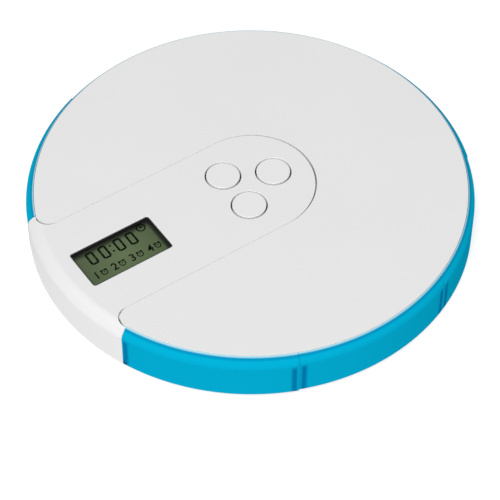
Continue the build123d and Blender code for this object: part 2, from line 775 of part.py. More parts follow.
# ---------------------------------------------------------------- outlet flap
flap_width = outlet_width - 2 * flap_gap
flap_far = outlet_middle - outlet_length / 2 + flap_gap
spring_slot = flap_spring_length + 2 * flap_gap
with BuildPart() as outlet_flap:
    flap_length = hinge_y - flap_far
    flap_middle = (hinge_y + flap_far) / 2
    block(flap_width, flap_length, floor_bottom, floor_bottom + flap_thickness, (0, flap_middle))
    with BuildSketch(Plane.YZ.offset(-flap_width / 2)):
        with Locations((hinge_y, hinge_z)):
            Circle(hinge_barrel)
    extrude(amount=flap_width)
    with BuildSketch(Plane.YZ.offset(-flap_width / 2)):
        with Locations((hinge_y, hinge_z)):
            Circle(hinge_pin + hinge_play)
    extrude(amount=flap_width, mode=Mode.SUBTRACT)
    slot_depth = 2 * hinge_barrel + flap_gap
    block(spring_slot, 2 * slot_depth, floor_bottom - 1, floor_top, (0, hinge_y), mode=Mode.SUBTRACT)
finish(outlet_flap, "outlet_flap")

with BuildPart() as flap_pin:
    with BuildSketch(Plane.YZ.offset(-outlet_width / 2 - pin_grip)):
        with Locations((hinge_y, hinge_z)):
            Circle(hinge_pin)
    extrude(amount=outlet_width + 2 * pin_grip)
finish(flap_pin, "flap_pin")

spring_turns = 6
coil_wire = flap_spring_length / spring_turns / 2
with BuildPart() as flap_spring:
    # close-wound coil round the pin, one leg under the floor's slot, one on the flap
    with BuildSketch(Plane.YZ.offset(-flap_spring_length / 2)) as coil:
        with Locations((hinge_y, hinge_z)):
            Circle(hinge_barrel - fit_gap)
            Circle(hinge_pin + hinge_play, mode=Mode.SUBTRACT)
    extrude(amount=flap_spring_length)
    groove_radius = hinge_barrel - fit_gap
    for turn in range(1, spring_turns):
        groove_x = -flap_spring_length / 2 + flap_spring_length * turn / spring_turns
        with BuildSketch(Plane.YZ.offset(groove_x)):
            with Locations((hinge_y, hinge_z)):
                Circle(groove_radius)
                Circle(groove_radius - coil_groove, mode=Mode.SUBTRACT)
        extrude(amount=coil_groove, mode=Mode.SUBTRACT)
    leg_reach = hinge_barrel + flap_gap - fit_gap
    with Locations((flap_spring_length / 2 - coil_wire / 2, hinge_y + leg_reach / 2, hinge_z)):
        Box(coil_wire, leg_reach, coil_groove * 2)
    with BuildSketch(Plane.YZ.offset(-flap_spring_length / 2)):
        with Locations((hinge_y, hinge_z)):
            Circle(hinge_pin + hinge_play)
    extrude(amount=flap_spring_length, mode=Mode.SUBTRACT)
finish(flap_spring, "flap_spring")

# ---------------------------------------------------------------- display
with BuildPart() as display_window:
    pane_width = window_width + 2 * pane_lap
    pane_length = window_length + 2 * pane_lap
    pane_place = (window_offset, window_middle)
    block(pane_width, pane_length, pane_bottom, skin_bottom, pane_place, window_corner)
finish(display_window, "display_window")

with BuildPart() as lcd_panel:
    glass_width = window_width + 2 * lcd_lap
    glass_length = window_length + 2 * lcd_lap
    block(glass_width, glass_length, board_top, lcd_top, (window_offset, window_middle))
finish(lcd_panel, "lcd_panel")

# ---------------------------------------------------------------- main board
with BuildPart() as main_board:
    with BuildSketch(Plane.XY.offset(board_bottom)):
        Circle(board_round)
        board_reach = band_inner - board_end
        with Locations((0, -board_reach / 2)):
            Rectangle(2 * board_half, board_reach)
    extrude(amount=board_thickness)
    post(
        board_screw_radius + fit_gap,
        board_bottom,
        board_top,
        board_screw_places,
        mode=Mode.SUBTRACT,
    )
finish(main_board, "main_board")

with BuildPart() as board_chips:
    for width, length, height, x, share in chips:
        block(width, length, board_top, board_top + height, (x, share * display_start))
finish(board_chips, "board_chips")

with BuildPart() as buzzer:
    post(buzzer_radius, board_top, board_top + buzzer_height, [buzzer_place])
    sound_hole = board_top + buzzer_height / 2
    post(screw_radius, sound_hole, board_top + buzzer_height, [buzzer_place], mode=Mode.SUBTRACT)
finish(buzzer, "buzzer")

# ---------------------------------------------------------------- buttons and switches
switch_top = board_top + switch_height
with BuildPart() as switch_bodies:
    for place in button_places:
        block(switch_size, switch_size, board_top, switch_top, place)
    bore = plunger_radius + switch_wall
    bore_bottom = board_top + switch_wall
    post(bore, bore_bottom, switch_top, button_places, mode=Mode.SUBTRACT)
finish(switch_bodies, "switch_bodies")

flange_top = skin_bottom - fit_gap
plunger_top = switch_top + button_travel + plunger_rest
for number, place in enumerate(button_places, 1):
    with BuildPart() as switch_plunger:
        post(plunger_radius, switch_top - button_guide, plunger_top, [place])
    finish(switch_plunger, f"switch_plunger_{number}")
    with BuildPart() as button_cap:
        post(button_radius, flange_top, lid_top + button_proud, [place])
        fillet(button_cap.edges().group_by(Axis.Z)[-1], button_edge)
        flange_bottom = flange_top - button_flange_height
        post(button_radius + button_flange, flange_bottom, flange_top, [place])
        post(plunger_radius, plunger_top, flange_bottom, [place])
    finish(button_cap, f"button_cap_{number}")

# ---------------------------------------------------------------- feet and fasteners
with BuildPart() as feet:
    post(foot_radius - fit_gap, 0, floor_bottom + foot_sink, foot_places)
    fillet(feet.edges().group_by(Axis.Z)[0], edge_round / 2)
finish(feet, "feet")


def screws(places, seat, head_radius, head_height, shank_radius, shank_length, upwards):
    """Cheese-head screws with a cross slot; the shank points up from the seat, or down."""
    direction = 1 if upwards else -1
    with BuildPart(mode=Mode.PRIVATE) as group:
        for place in places:
            head_end = seat - direction * head_height
            shank_end = seat + direction * shank_length
            post(head_radius, min(seat, head_end), max(seat, head_end), [place])
            post(shank_radius, min(seat, shank_end), max(seat, shank_end), [place])
            slot_end = head_end + direction * head_height / 2
            slot_bottom = min(head_end, slot_end)
            slot_top = max(head_end, slot_end)
            slot = head_radius / 3
            block(head_radius * 1.4, slot, slot_bottom, slot_top, place, mode=Mode.SUBTRACT)
            block(slot, head_radius * 1.4, slot_bottom, slot_top, place, mode=Mode.SUBTRACT)
    return group.part


shank = screw_radius - ring_fit
with BuildPart() as base_screws:
    base_seat = floor_bottom + screw_head_height + fit_gap
    grip = screw_length - fit_gap + floor_top - base_seat
    add(screws(boss_places, base_seat, screw_head, screw_head_height, shank, grip, True))
finish(base_screws, "base_screws")

with BuildPart() as deck_screws:
    grip = deck_thickness + screw_length - fit_gap
    add(screws(deck_screw_places, deck_top, screw_head, screw_head_height, shank, grip, False))
finish(deck_screws, "deck_screws")

with BuildPart() as cover_screws:
    for place in cover_post_places:
        with Locations((place[0], place[1], deck_bottom + ring_fit)):
            Cone(screw_head, shank, screw_head_height, align=centred)
            Cylinder(shank, deck_thickness + cover_screw_length - fit_gap, align=centred)
finish(cover_screws, "cover_screws")

with BuildPart() as board_screws:
    board_shank = board_screw_radius - ring_fit
    grip = board_thickness + board_lift + deck_thickness - fit_gap
    add(screws(
        board_screw_places,
        board_top,
        board_screw_head,
        board_screw_head_height,
        board_shank,
        grip,
        False,
    ))
finish(board_screws, "board_screws")

with BuildPart() as motor_screws:
    motor_grip = motor_ear_thickness + screw_length / 2
    add(screws(
        ear_places,
        ear_bottom + motor_ear_thickness,
        screw_head,
        screw_head_height / 2,
        shank,
        motor_grip,
        False,
    ))
finish(motor_screws, "motor_screws")
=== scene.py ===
"""Round automatic pill dispenser: finished casing, display and studio round the CAD frame.

The object stands on z = 0 with the middle of its disc on the origin, and its arm with the
display points towards -Y. Everything is in metres.
"""

import math

import bpy
from mathutils import Matrix, Vector


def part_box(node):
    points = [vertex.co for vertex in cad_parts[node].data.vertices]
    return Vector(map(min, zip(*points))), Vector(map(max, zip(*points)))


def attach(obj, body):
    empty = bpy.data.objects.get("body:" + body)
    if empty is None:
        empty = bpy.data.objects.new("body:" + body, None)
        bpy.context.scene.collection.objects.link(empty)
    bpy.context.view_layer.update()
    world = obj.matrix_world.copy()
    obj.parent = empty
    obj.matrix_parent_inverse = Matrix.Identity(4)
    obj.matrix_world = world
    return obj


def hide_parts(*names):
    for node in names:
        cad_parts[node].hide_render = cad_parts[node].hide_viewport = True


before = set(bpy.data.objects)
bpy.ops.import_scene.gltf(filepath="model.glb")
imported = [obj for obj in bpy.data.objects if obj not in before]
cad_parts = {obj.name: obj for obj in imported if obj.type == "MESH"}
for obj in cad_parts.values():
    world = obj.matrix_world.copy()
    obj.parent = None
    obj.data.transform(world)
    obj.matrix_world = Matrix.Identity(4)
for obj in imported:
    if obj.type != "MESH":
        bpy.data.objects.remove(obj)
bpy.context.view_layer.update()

bl_info = {
    "name": "Round pill dispenser",
    "version": (1, 0, 0),
    "blender": (4, 5, 0),
    "location": "View3D > Sidebar > Pill dispenser",
    "description": "Builds the casing, band, buttons and display of a round pill dispenser",
    "category": "Add Mesh",
}

MM = 0.001
PAST = 1.0 * MM            # how far a cutter reaches past what it cuts
OVERLAP = 0.2 * MM         # how far joined pieces reach into each other
NEAR = 0.01 * MM           # tolerance when corners are picked by their place
HAIR = 0.001 * MM          # merges a spun ring's ends, and keeps cut faces apart
SLIVER = 0.05 * MM         # corners of the head cover closer than this are merged
FLAT = 0.2                 # faces that meet at fewer degrees than this are joined
SECTORS = 8                # the arm and the seven blue segments
SECTOR = 360 / SECTORS     # angles of the ring are in degrees, from +X towards +Y
ARM_START = -90 - SECTOR / 2
ARM_END = -90 + SECTOR / 2
RIM_DEPTH = 5.0 * MM       # cutters for the rim start this far inside it
BUTTONS = (1, 2, 3)
FRAME_WIDTH = 500          # the picture's width and height, in pixels
SENSOR_WIDTH = 36          # of the camera, in millimetres

# ------------------------------------------------------------------ places given by the frame
LID_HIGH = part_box("lid")[1]
COVER_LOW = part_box("head_cover")[0]
LINER_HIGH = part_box("lid_liner")[1]
DECK_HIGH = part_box("deck")[1]
LCD_LOW, LCD_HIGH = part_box("lcd_panel")
PANE_LOW, PANE_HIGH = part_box("display_window")
FLOOR_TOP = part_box("base_tray")[1].z
TOP = LID_HIGH.z
OUTER = -COVER_LOW.y
LID_RADIUS = LID_HIGH.y
SKIN_BOTTOM = PANE_HIGH.z
DECK_TOP = LINER_HIGH.z
BAND_BOTTOM = COVER_LOW.z


class CasingSizes(bpy.types.PropertyGroup):
    """Sizes of the casing that the frame's boxes don't give."""

    lid_gap: bpy.props.FloatProperty(
        name="Lid gap", description="Gap between the lid's round edge and the band",
        default=0.12 * MM, unit="LENGTH")
    arm_gap: bpy.props.FloatProperty(
        name="Arm gap", description="Gap between the lid and the arm's straight sides",
        default=0.08 * MM, unit="LENGTH")
    arm_reach: bpy.props.FloatProperty(
        name="Arm reach", description="How far the lid's hollow reaches past the arm's end",
        default=0.5 * MM, unit="LENGTH")
    wall: bpy.props.FloatProperty(
        name="Wall", description="Thickness of band, skirt and cover walls",
        default=1.6 * MM, unit="LENGTH")
    arm_half: bpy.props.FloatProperty(
        name="Arm half width", description="Half the arm's width, and its round end's radius",
        default=22.9 * MM, unit="LENGTH")
    lid_corner: bpy.props.FloatProperty(
        name="Lid corner", description="Radius of the lid's corners beside the arm",
        default=4.9 * MM, unit="LENGTH")
    arm_corner: bpy.props.FloatProperty(
        name="Arm corner", description="Radius of the hollow corners that hold the lid's",
        default=4.4 * MM, unit="LENGTH")
    seam_gap: bpy.props.FloatProperty(
        name="Seam gap", description="Gap between neighbouring band segments",
        default=0.08 * MM, unit="LENGTH")
    arm_lap: bpy.props.FloatProperty(
        name="Arm lap", description="How far the arm's skirt reaches over the blue ends",
        default=0.35 * MM, unit="LENGTH")
    shoulder_drop: bpy.props.FloatProperty(
        name="Shoulder drop", description="How far the sloping shoulder falls",
        default=3.2 * MM, unit="LENGTH")
    shoulder_round: bpy.props.FloatProperty(
        name="Shoulder rounding", description="Rounding between the shoulder and the wall",
        default=3.0 * MM, unit="LENGTH")
    rim_round: bpy.props.FloatProperty(
        name="Rim rounding", description="Rounding between the arm's top and its shoulder",
        default=4.0 * MM, unit="LENGTH")
    proud: bpy.props.FloatProperty(
        name="Proud segments", description="How far segments 1, 4 and 7 stand out",
        default=0.4 * MM, unit="LENGTH")
    lip_height: bpy.props.FloatProperty(
        name="Lip height", description="Height of the band's foot and of its ledge",
        default=1.2 * MM, unit="LENGTH")
    lip_width: bpy.props.FloatProperty(
        name="Lip width", description="How far the band's foot and ledge reach inwards",
        default=1.8 * MM, unit="LENGTH")
    seat_gap: bpy.props.FloatProperty(
        name="Seat gap", description="Lid above the ledge that it rests on",
        default=0.1 * MM, unit="LENGTH")
    lid_wall: bpy.props.FloatProperty(
        name="Lid wall", description="Walls that join the lid to its liner",
        default=1.2 * MM, unit="LENGTH")
    liner_gap: bpy.props.FloatProperty(
        name="Liner gap", description="Liner beside deck and arm",
        default=0.5 * MM, unit="LENGTH")
    edge: bpy.props.FloatProperty(
        name="Edge rounding", description="Rounding of the casing's seam edges",
        default=0.11 * MM, unit="LENGTH")
    band_edge: bpy.props.FloatProperty(
        name="Band edge rounding", description="Rounding of the blue segments' edges",
        default=0.06 * MM, unit="LENGTH")
    end_bottom: bpy.props.FloatProperty(
        name="Band end, bottom", description="Rounded bottom corner of the blue ends at the arm",
        default=2.3 * MM, unit="LENGTH")


class DisplaySizes(bpy.types.PropertyGroup):
    """Sizes of the display and the buttons."""

    window_width: bpy.props.FloatProperty(
        name="Window width", description="Width of the display window",
        default=16.7 * MM, unit="LENGTH")
    window_length: bpy.props.FloatProperty(
        name="Window length", description="Length of the display window",
        default=32.0 * MM, unit="LENGTH")
    window_corner: bpy.props.FloatProperty(
        name="Window corner", description="Radius of the window's corners",
        default=1.0 * MM, unit="LENGTH")
    window_edge: bpy.props.FloatProperty(
        name="Window edge", description="Soft rounding of the window's top edge",
        default=0.45 * MM, unit="LENGTH")
    gasket: bpy.props.FloatProperty(
        name="Gasket", description="Thickness of the black lining of the window",
        default=0.35 * MM, unit="LENGTH")
    mask: bpy.props.FloatProperty(
        name="Mask", description="Black border printed round the display's glass",
        default=0.1 * MM, unit="LENGTH")
    digit_width: bpy.props.FloatProperty(
        name="Digit width", description="Width of the large digits",
        default=3.2 * MM, unit="LENGTH")
    digit_height: bpy.props.FloatProperty(
        name="Digit height", description="Height of the large digits",
        default=5.9 * MM, unit="LENGTH")
    stroke: bpy.props.FloatProperty(
        name="Stroke", description="Width of a digit's bars",
        default=0.78 * MM, unit="LENGTH")
    button_gap: bpy.props.FloatProperty(
        name="Button gap", description="Gap round each button",
        default=0.47 * MM, unit="LENGTH")
    hole_edge: bpy.props.FloatProperty(
        name="Hole edge", description="Soft rounding of the button holes' top edges",
        default=0.28 * MM, unit="LENGTH")
    button_edge: bpy.props.FloatProperty(
        name="Button edge", description="Rounding of each button's top edge",
        default=0.35 * MM, unit="LENGTH")


class FinishColours(bpy.types.PropertyGroup):
    """Colours of the visible finishes."""

    shell: bpy.props.FloatVectorProperty(
        name="Shell", description="White plastic of lid and head cover",
        default=(0.72, 0.72, 0.725), size=3, subtype="COLOR")
    button: bpy.props.FloatVectorProperty(
        name="Buttons", description="White plastic of the buttons",
        default=(0.73, 0.73, 0.735), size=3, subtype="COLOR")
    band: bpy.props.FloatVectorProperty(
        name="Band", description="Milky blue plastic of the band",
        default=(0.001, 0.355, 0.555), size=3, subtype="COLOR")
    # painted shade: blue of the dark slots seen through the band at the seams, and of the shadow
    # line under the lid's edge
    band_deep: bpy.props.FloatVectorProperty(
        name="Band, deep", description="Blue where dark slots show through the band",
        default=(0.0005, 0.17, 0.37), size=3, subtype="COLOR")
    # painted highlight: pale edge of the band where its rounded edge beside the lid catches the
    # light
    band_rim: bpy.props.FloatVectorProperty(
        name="Band, rim", description="Pale edge of the band beside the lid",
        default=(0.36, 0.62, 0.72), size=3, subtype="COLOR")
    display: bpy.props.FloatVectorProperty(
        name="Display", description="Grey-green of the display's glass",
        default=(0.108, 0.155, 0.068), size=3, subtype="COLOR")
    glyph: bpy.props.FloatVectorProperty(
        name="Glyphs", description="Dark bars of the display",
        default=(0.0015, 0.003, 0.0015), size=3, subtype="COLOR")


class StudioSettings(bpy.types.PropertyGroup):
    """Camera, lights and floor."""

    azimuth: bpy.props.FloatProperty(
        name="Azimuth", description="Direction of the camera, from the arm towards +X",
        default=math.radians(55.59), subtype="ANGLE")
    elevation: bpy.props.FloatProperty(
        name="Elevation", description="Height of the camera above the horizon",
        default=math.radians(48.24), subtype="ANGLE")
    roll: bpy.props.FloatProperty(
        name="Roll", description="Turn of the camera about its own line of sight",
        default=math.radians(0.20), subtype="ANGLE")
    distance: bpy.props.FloatProperty(
        name="Distance", description="Camera to the middle of the lid",
        default=760.5 * MM, unit="LENGTH")
    focal_pixels: bpy.props.FloatProperty(
        name="Focal length in pixels", description="For a picture 500 pixels wide",
        default=2141.7)
    middle_x: bpy.props.FloatProperty(
        name="Middle, across", description="Pixel column of the middle of the lid",
        default=251.0)
    middle_y: bpy.props.FloatProperty(
        name="Middle, down", description="Pixel row of the middle of the lid",
        default=182.6)
    sky: bpy.props.FloatProperty(
        name="Sky", description="Strength of the plain white surroundings",
        default=0.3)
    key: bpy.props.FloatProperty(
        name="Key light", description="Power of the large soft light",
        default=148.0, unit="POWER")
    key_azimuth: bpy.props.FloatProperty(
        name="Key light's azimuth", description="Direction of the light, as the camera's",
        default=math.radians(42), subtype="ANGLE")
    key_elevation: bpy.props.FloatProperty(
        name="Key light's elevation", description="Height of the light above the horizon",
        default=math.radians(62), subtype="ANGLE")
    key_distance: bpy.props.FloatProperty(
        name="Key light's distance", description="From the light to the object",
        default=4.0, unit="LENGTH")
    key_size: bpy.props.FloatProperty(
        name="Key light's size", description="Side of the square light",
        default=1.2, unit="LENGTH")
    floor_size: bpy.props.FloatProperty(
        name="Floor's size", description="Side of the square floor",
        default=12.0, unit="LENGTH")
    floor_shade: bpy.props.FloatProperty(
        name="Floor's shade", description="How much light the floor sends back",
        default=0.35)
    floor_glow: bpy.props.FloatProperty(
        name="Floor's glow", description="Light of the floor's own, to keep it white",
        default=0.68)


def sizes():
    return bpy.context.scene.casing_sizes


def display_sizes():
    return bpy.context.scene.display_sizes


def colours():
    return bpy.context.scene.finish_colours


def studio():
    return bpy.context.scene.studio_settings


# ------------------------------------------------------------------ modelling by hand
def let_go():
    """Object mode with nothing selected."""
    if bpy.context.object and bpy.context.object.mode != "OBJECT":
        done()
    bpy.ops.object.select_all(action="DESELECT")


def take(piece):
    """Only this piece selected and active."""
    let_go()
    piece.select_set(True)
    bpy.context.view_layer.objects.active = piece


def done():
    """Back to object mode."""
    bpy.ops.object.mode_set(mode="OBJECT")


def named(piece, name):
    """The piece, with the name on its mesh as well."""
    piece.name = name
    piece.data.name = name
    return piece


def settle(piece):
    """Puts the piece's place, turn and scale into its mesh."""
    take(piece)
    bpy.ops.object.transform_apply(location=True, rotation=True, scale=True)
    return piece


def drum(name, radius, bottom, top, place=(0, 0), corners=240):
    """Upright cylinder between two heights."""
    let_go()
    bpy.ops.mesh.primitive_cylinder_add(
        vertices=corners, radius=radius, depth=top - bottom,
        location=(place[0], place[1], (bottom + top) / 2))
    return settle(named(bpy.context.object, name))


def slab(name, low, high):
    """Upright block between two corners."""
    let_go()
    low, high = Vector(low), Vector(high)
    bpy.ops.mesh.primitive_cube_add(size=1, location=(low + high) / 2, scale=high - low)
    return settle(named(bpy.context.object, name))


def pick(piece, wanted, kind="EDGE"):
    """In edit mode, selects the edges, faces or vertices for which wanted(points) is true."""
    take(piece)
    mesh = piece.data
    bpy.ops.object.mode_set(mode="EDIT")
    bpy.ops.mesh.select_mode(type=kind)
    bpy.ops.mesh.select_all(action="DESELECT")
    done()
    items = {"EDGE": mesh.edges, "FACE": mesh.polygons, "VERT": mesh.vertices}[kind]
    for item in items:
        corners = [item.index] if kind == "VERT" else item.vertices
        item.select = wanted([mesh.vertices[i].co for i in corners])
    bpy.ops.object.mode_set(mode="EDIT")


def at_level(level):
    """Test for what lies flat at one height."""
    return lambda points: all(abs(point.z - level) < NEAR for point in points)


def apply(piece, modifier):
    """Puts a modifier's result into the piece's mesh."""
    take(piece)
    bpy.ops.object.modifier_apply(modifier=modifier.name)


def combine(piece, tool, operation="DIFFERENCE"):
    """Cuts, joins or intersects a piece with a tool, and removes the tool."""
    cut = piece.modifiers.new("cut", "BOOLEAN")
    cut.operation = operation
    cut.solver = "EXACT"
    cut.object = tool
    apply(piece, cut)
    bpy.data.objects.remove(tool, do_unlink=True)
    return piece


def clean(piece, distance=NEAR / 2):
    """Merges doubles, joins flat faces and turns every face outwards."""
    take(piece)
    bpy.ops.object.mode_set(mode="EDIT")
    bpy.ops.mesh.select_all(action="SELECT")
    bpy.ops.mesh.remove_doubles(threshold=distance)
    bpy.ops.mesh.dissolve_limited(angle_limit=math.radians(FLAT))
    bpy.ops.mesh.select_all(action="SELECT")
    bpy.ops.mesh.normals_make_consistent(inside=False)
    done()
    return piece


def soften(piece, width, sharpest=50, segments=3):
    """Rounds every edge that turns by more than some degrees."""
    bevel = piece.modifiers.new("soft edges", "BEVEL")
    bevel.width = width
    bevel.segments = segments
    bevel.limit_method = "ANGLE"
    bevel.angle_limit = math.radians(sharpest)
    bevel.use_clamp_overlap = False
    bevel.harden_normals = False
    apply(piece, bevel)
    return piece


def smooth(piece, angle=35):
    """Smooth shading that keeps the large flat faces flat."""
    take(piece)
    bpy.ops.object.shade_smooth_by_angle(angle=math.radians(angle))
    even = piece.modifiers.new("even shading", "WEIGHTED_NORMAL")
    even.keep_sharp = True
    apply(piece, even)
    return piece


def drawn(name, corners):
    """Flat face in the XZ plane, drawn corner by corner."""
    let_go()
    points = [Vector((x, 0, z)) for x, z in corners]
    bpy.ops.mesh.primitive_plane_add(size=MM, location=points[0])
    piece = settle(named(bpy.context.object, name))
    bpy.ops.object.mode_set(mode="EDIT")
    bpy.ops.mesh.select_mode(type="VERT")
    bpy.ops.mesh.select_all(action="SELECT")
    bpy.ops.mesh.merge(type="CENTER")
    for before, after in zip(points, points[1:]):
        bpy.ops.mesh.extrude_vertices_move(TRANSFORM_OT_translate={"value": after - before})
    bpy.ops.mesh.select_all(action="SELECT")
    bpy.ops.mesh.edge_face_add()
    done()
    return piece


def round_corner(piece, corner, radius, turn):
    """Rounds one corner of a drawn face, where its outline turns by so many radians."""
    place = Vector((corner[0], 0, corner[1]))
    pick(piece, lambda points: (points[0] - place).length < NEAR, "VERT")
    bpy.ops.mesh.bevel(offset=radius * math.tan(turn / 2), segments=8, affect="VERTICES")
    done()


def spun(piece, start, sweep, steps, centre=(0, 0)):
    """Solid made by spinning a drawn face about an upright axis, angles in degrees."""
    take(piece)
    bpy.ops.object.mode_set(mode="EDIT")
    bpy.ops.mesh.select_all(action="SELECT")
    if sweep == 360:
        bpy.ops.mesh.delete(type="ONLY_FACE")
        bpy.ops.mesh.select_all(action="SELECT")
    bpy.ops.mesh.spin(
        steps=steps, angle=-math.radians(sweep), center=(0, 0, 0), axis=(0, 0, 1))
    bpy.ops.mesh.select_all(action="SELECT")
    bpy.ops.mesh.remove_doubles(threshold=HAIR)
    bpy.ops.mesh.delete_loose(use_verts=True, use_edges=True, use_faces=False)
    bpy.ops.mesh.select_all(action="SELECT")
    bpy.ops.mesh.normals_make_consistent(inside=False)
    done()
    piece.rotation_euler.z = math.radians(start)
    piece.location = (centre[0], centre[1], 0)
    return settle(piece)


def ring_part(name, inner, outer, bottom, top, start, sweep, steps, centre=(0, 0)):
    """Part of a square-edged ring, angles in degrees."""
    face = drawn(name, [(inner, bottom), (outer, bottom), (outer, top), (inner, top)])
    return spun(face, start, sweep, steps, centre)


def copy_of(piece, name):
    """Copy with its own mesh."""
    twin = piece.copy()
    twin.data = piece.data.copy()
    bpy.context.scene.collection.objects.link(twin)
    return named(twin, name)


def put(piece, body, slot, finish, *nodes):
    """Gives a finished piece its body and material, and hides the nodes that it stands for; the
    slot is not used.
    """
    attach(piece, body)
    if nodes:
        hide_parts(*nodes)
    piece.data.materials.clear()
    piece.data.materials.append(finish)


# ------------------------------------------------------------------ materials
GRAIN_SCALE = 1800.0       # of the moulded plastic's fine grain
GRAIN_DEPTH = 0.02 * MM
PLASTIC_CLOUDS = 0.015     # how much brighter and darker the plastic's faint clouds are
METAL_CLOUDS = 0.06
# painted shade: a button's flange and stem under the skin are coloured near-black, for the shade
# in the gap round it
GAP_SHADE_COLOUR = (0.02, 0.02, 0.02)
GAP_SHADE_BLEND = 0.3 * MM    # height over which the painted gap shade on a button's flange turns white
# where the painted shade of a dark slot beside a seam begins, is full, begins to fade and ends
SLOT_SHADE_ACROSS = (0.2 * MM, 1.4 * MM, 1.8 * MM, 3.4 * MM)        # distances from the seam
SLOT_SHADE_UPRIGHT = (-1.0 * MM, 0.5 * MM, 14.0 * MM, 16.6 * MM)    # heights
# shares of the shoulder's height: end of the blue, the deeper painted shadow line, start of the
# pale painted highlight beside the lid
RIM_SHADOW_HIGHLIGHT_LEVELS = (0.5, 0.68, 0.79, 0.92)
RIM_SHADOW_SHARE = 0.55            # share of the deep blue in the thin painted shadow line under the painted highlight
# painted light on the display's glass: lighter in its middle, dimmer towards its edges
PAINTED_LIGHT_REACH = 14 * MM       # radius of the display's lighter middle, a painted pool of light
PAINTED_LIGHT_EDGE = 0.78           # the display's brightness outside that middle
PAINTED_LIGHT_CENTRE = 1.12          # and at its centre
SHADE_COLOUR = (0.004, 0.005, 0.004)
SHADE_LEAST = 0.12         # share of the display's colour left where the shade is deepest
# the shade is deepest up to the first distance from the window's edge, and ends at the second
SHADE_TOP = (0.6 * MM, 2.9 * MM)    # along the top of the figures
SHADE_END = (0.6 * MM, 1.9 * MM)    # at their far end


def new_finish(name):
    """Empty material: the material itself, its node tree and its shader."""
    finish = bpy.data.materials.get(name) or bpy.data.materials.new(name)
    finish.use_nodes = True
    nodes = finish.node_tree.nodes
    nodes.clear()
    output = nodes.new("ShaderNodeOutputMaterial")
    shader = nodes.new("ShaderNodeBsdfPrincipled")
    finish.node_tree.links.new(shader.outputs["BSDF"], output.inputs["Surface"])
    return finish, finish.node_tree, shader


def object_place(tree):
    """A point's place on its object: the vector, and its X, Y and Z apart."""
    place = tree.nodes.new("ShaderNodeTexCoord").outputs["Object"]
    parts = tree.nodes.new("ShaderNodeSeparateXYZ")
    tree.links.new(place, parts.inputs["Vector"])
    return place, parts.outputs


def clouds(tree, scale, detail=2.0):
    """Cloudy pattern on object coordinates, from 0 to 1."""
    place = tree.nodes.new("ShaderNodeTexCoord")
    noise = tree.nodes.new("ShaderNodeTexNoise")
    noise.inputs["Scale"].default_value = scale
    noise.inputs["Detail"].default_value = detail
    tree.links.new(place.outputs["Object"], noise.inputs["Vector"])
    return noise.outputs["Fac"]


def worked_out(tree, operation, first, second):
    """Result of a Math node. The first value is a socket, the second a socket or a number."""
    node = tree.nodes.new("ShaderNodeMath")
    node.operation = operation
    tree.links.new(first, node.inputs[0])
    if isinstance(second, float):
        node.inputs[1].default_value = second
    else:
        tree.links.new(second, node.inputs[1])
    return node.outputs["Value"]


def ranged(tree, value, start, end, least=0.0, kind="SMOOTHSTEP"):
    """Share that goes from least to 1 while the value goes from start to end."""
    node = tree.nodes.new("ShaderNodeMapRange")
    node.interpolation_type = kind
    node.inputs["From Min"].default_value = start
    node.inputs["From Max"].default_value = end
    node.inputs["To Min"].default_value = least
    tree.links.new(value, node.inputs["Value"])
    return node.outputs["Result"]


def between(tree, value, low, low_full, high_full, high):
    """Mask that rises from low to low_full and falls from high_full to high."""
    rise = ranged(tree, value, low, low_full)
    return worked_out(tree, "MULTIPLY", rise, ranged(tree, value, high, high_full))


def blended(tree, share, under, over):
    """Colour from under to over by a share. Each is a socket or a plain colour."""
    mix = tree.nodes.new("ShaderNodeMix")
    mix.data_type = "RGBA"
    for name, colour in (("A", under), ("B", over)):
        if isinstance(colour, bpy.types.NodeSocket):
            tree.links.new(colour, mix.inputs[name])
        else:
            mix.inputs[name].default_value = (*colour, 1)
    tree.links.new(share, mix.inputs["Factor"])
    return mix.outputs["Result"]


def mottled(tree, shader, colour, share, scale):
    """Base colour with a faint cloudy change of brightness."""
    ramp = tree.nodes.new("ShaderNodeValToRGB")
    ramp.color_ramp.elements[0].color = (*[part * (1 - share) for part in colour], 1)
    ramp.color_ramp.elements[1].color = (*[min(1, part * (1 + share)) for part in colour], 1)
    tree.links.new(clouds(tree, scale), ramp.inputs["Fac"])
    tree.links.new(ramp.outputs["Color"], shader.inputs["Base Color"])


def plastic(name, colour, roughness):
    """Moulded plastic with a fine grain."""
    finish, tree, shader = new_finish(name)
    shader.inputs["Roughness"].default_value = roughness
    shader.inputs["IOR"].default_value = 1.5
    mottled(tree, shader, colour, PLASTIC_CLOUDS, 40.0)
    bump = tree.nodes.new("ShaderNodeBump")
    bump.inputs["Strength"].default_value = 0.25
    bump.inputs["Distance"].default_value = GRAIN_DEPTH
    tree.links.new(clouds(tree, GRAIN_SCALE, 3.0), bump.inputs["Height"])
    tree.links.new(bump.outputs["Normal"], shader.inputs["Normal"])
    return finish


def metal(name, colour, roughness):
    """Bare metal, faintly mottled."""
    finish, tree, shader = new_finish(name)
    shader.inputs["Metallic"].default_value = 1.0
    shader.inputs["Roughness"].default_value = roughness
    mottled(tree, shader, colour, METAL_CLOUDS, 300.0)
    return finish


def button_plastic():
    """White button, coloured near-black under the cover's skin: painted shade in the gap round
    the button, on its flange and stem.
    """
    finish = plastic("button_white", colours().button, 0.38)
    tree = finish.node_tree
    shader = next(node for node in tree.nodes if node.type == "BSDF_PRINCIPLED")
    white = shader.inputs["Base Color"].links[0].from_socket
    _, parts = object_place(tree)
    # painted shade in the button's gap: near-black below the cover's skin, white above it
    above = ranged(
        tree, parts["Z"], SKIN_BOTTOM, SKIN_BOTTOM + GAP_SHADE_BLEND, kind="LINEAR")
    colour = blended(tree, above, GAP_SHADE_COLOUR, white)
    tree.links.new(colour, shader.inputs["Base Color"])
    return finish


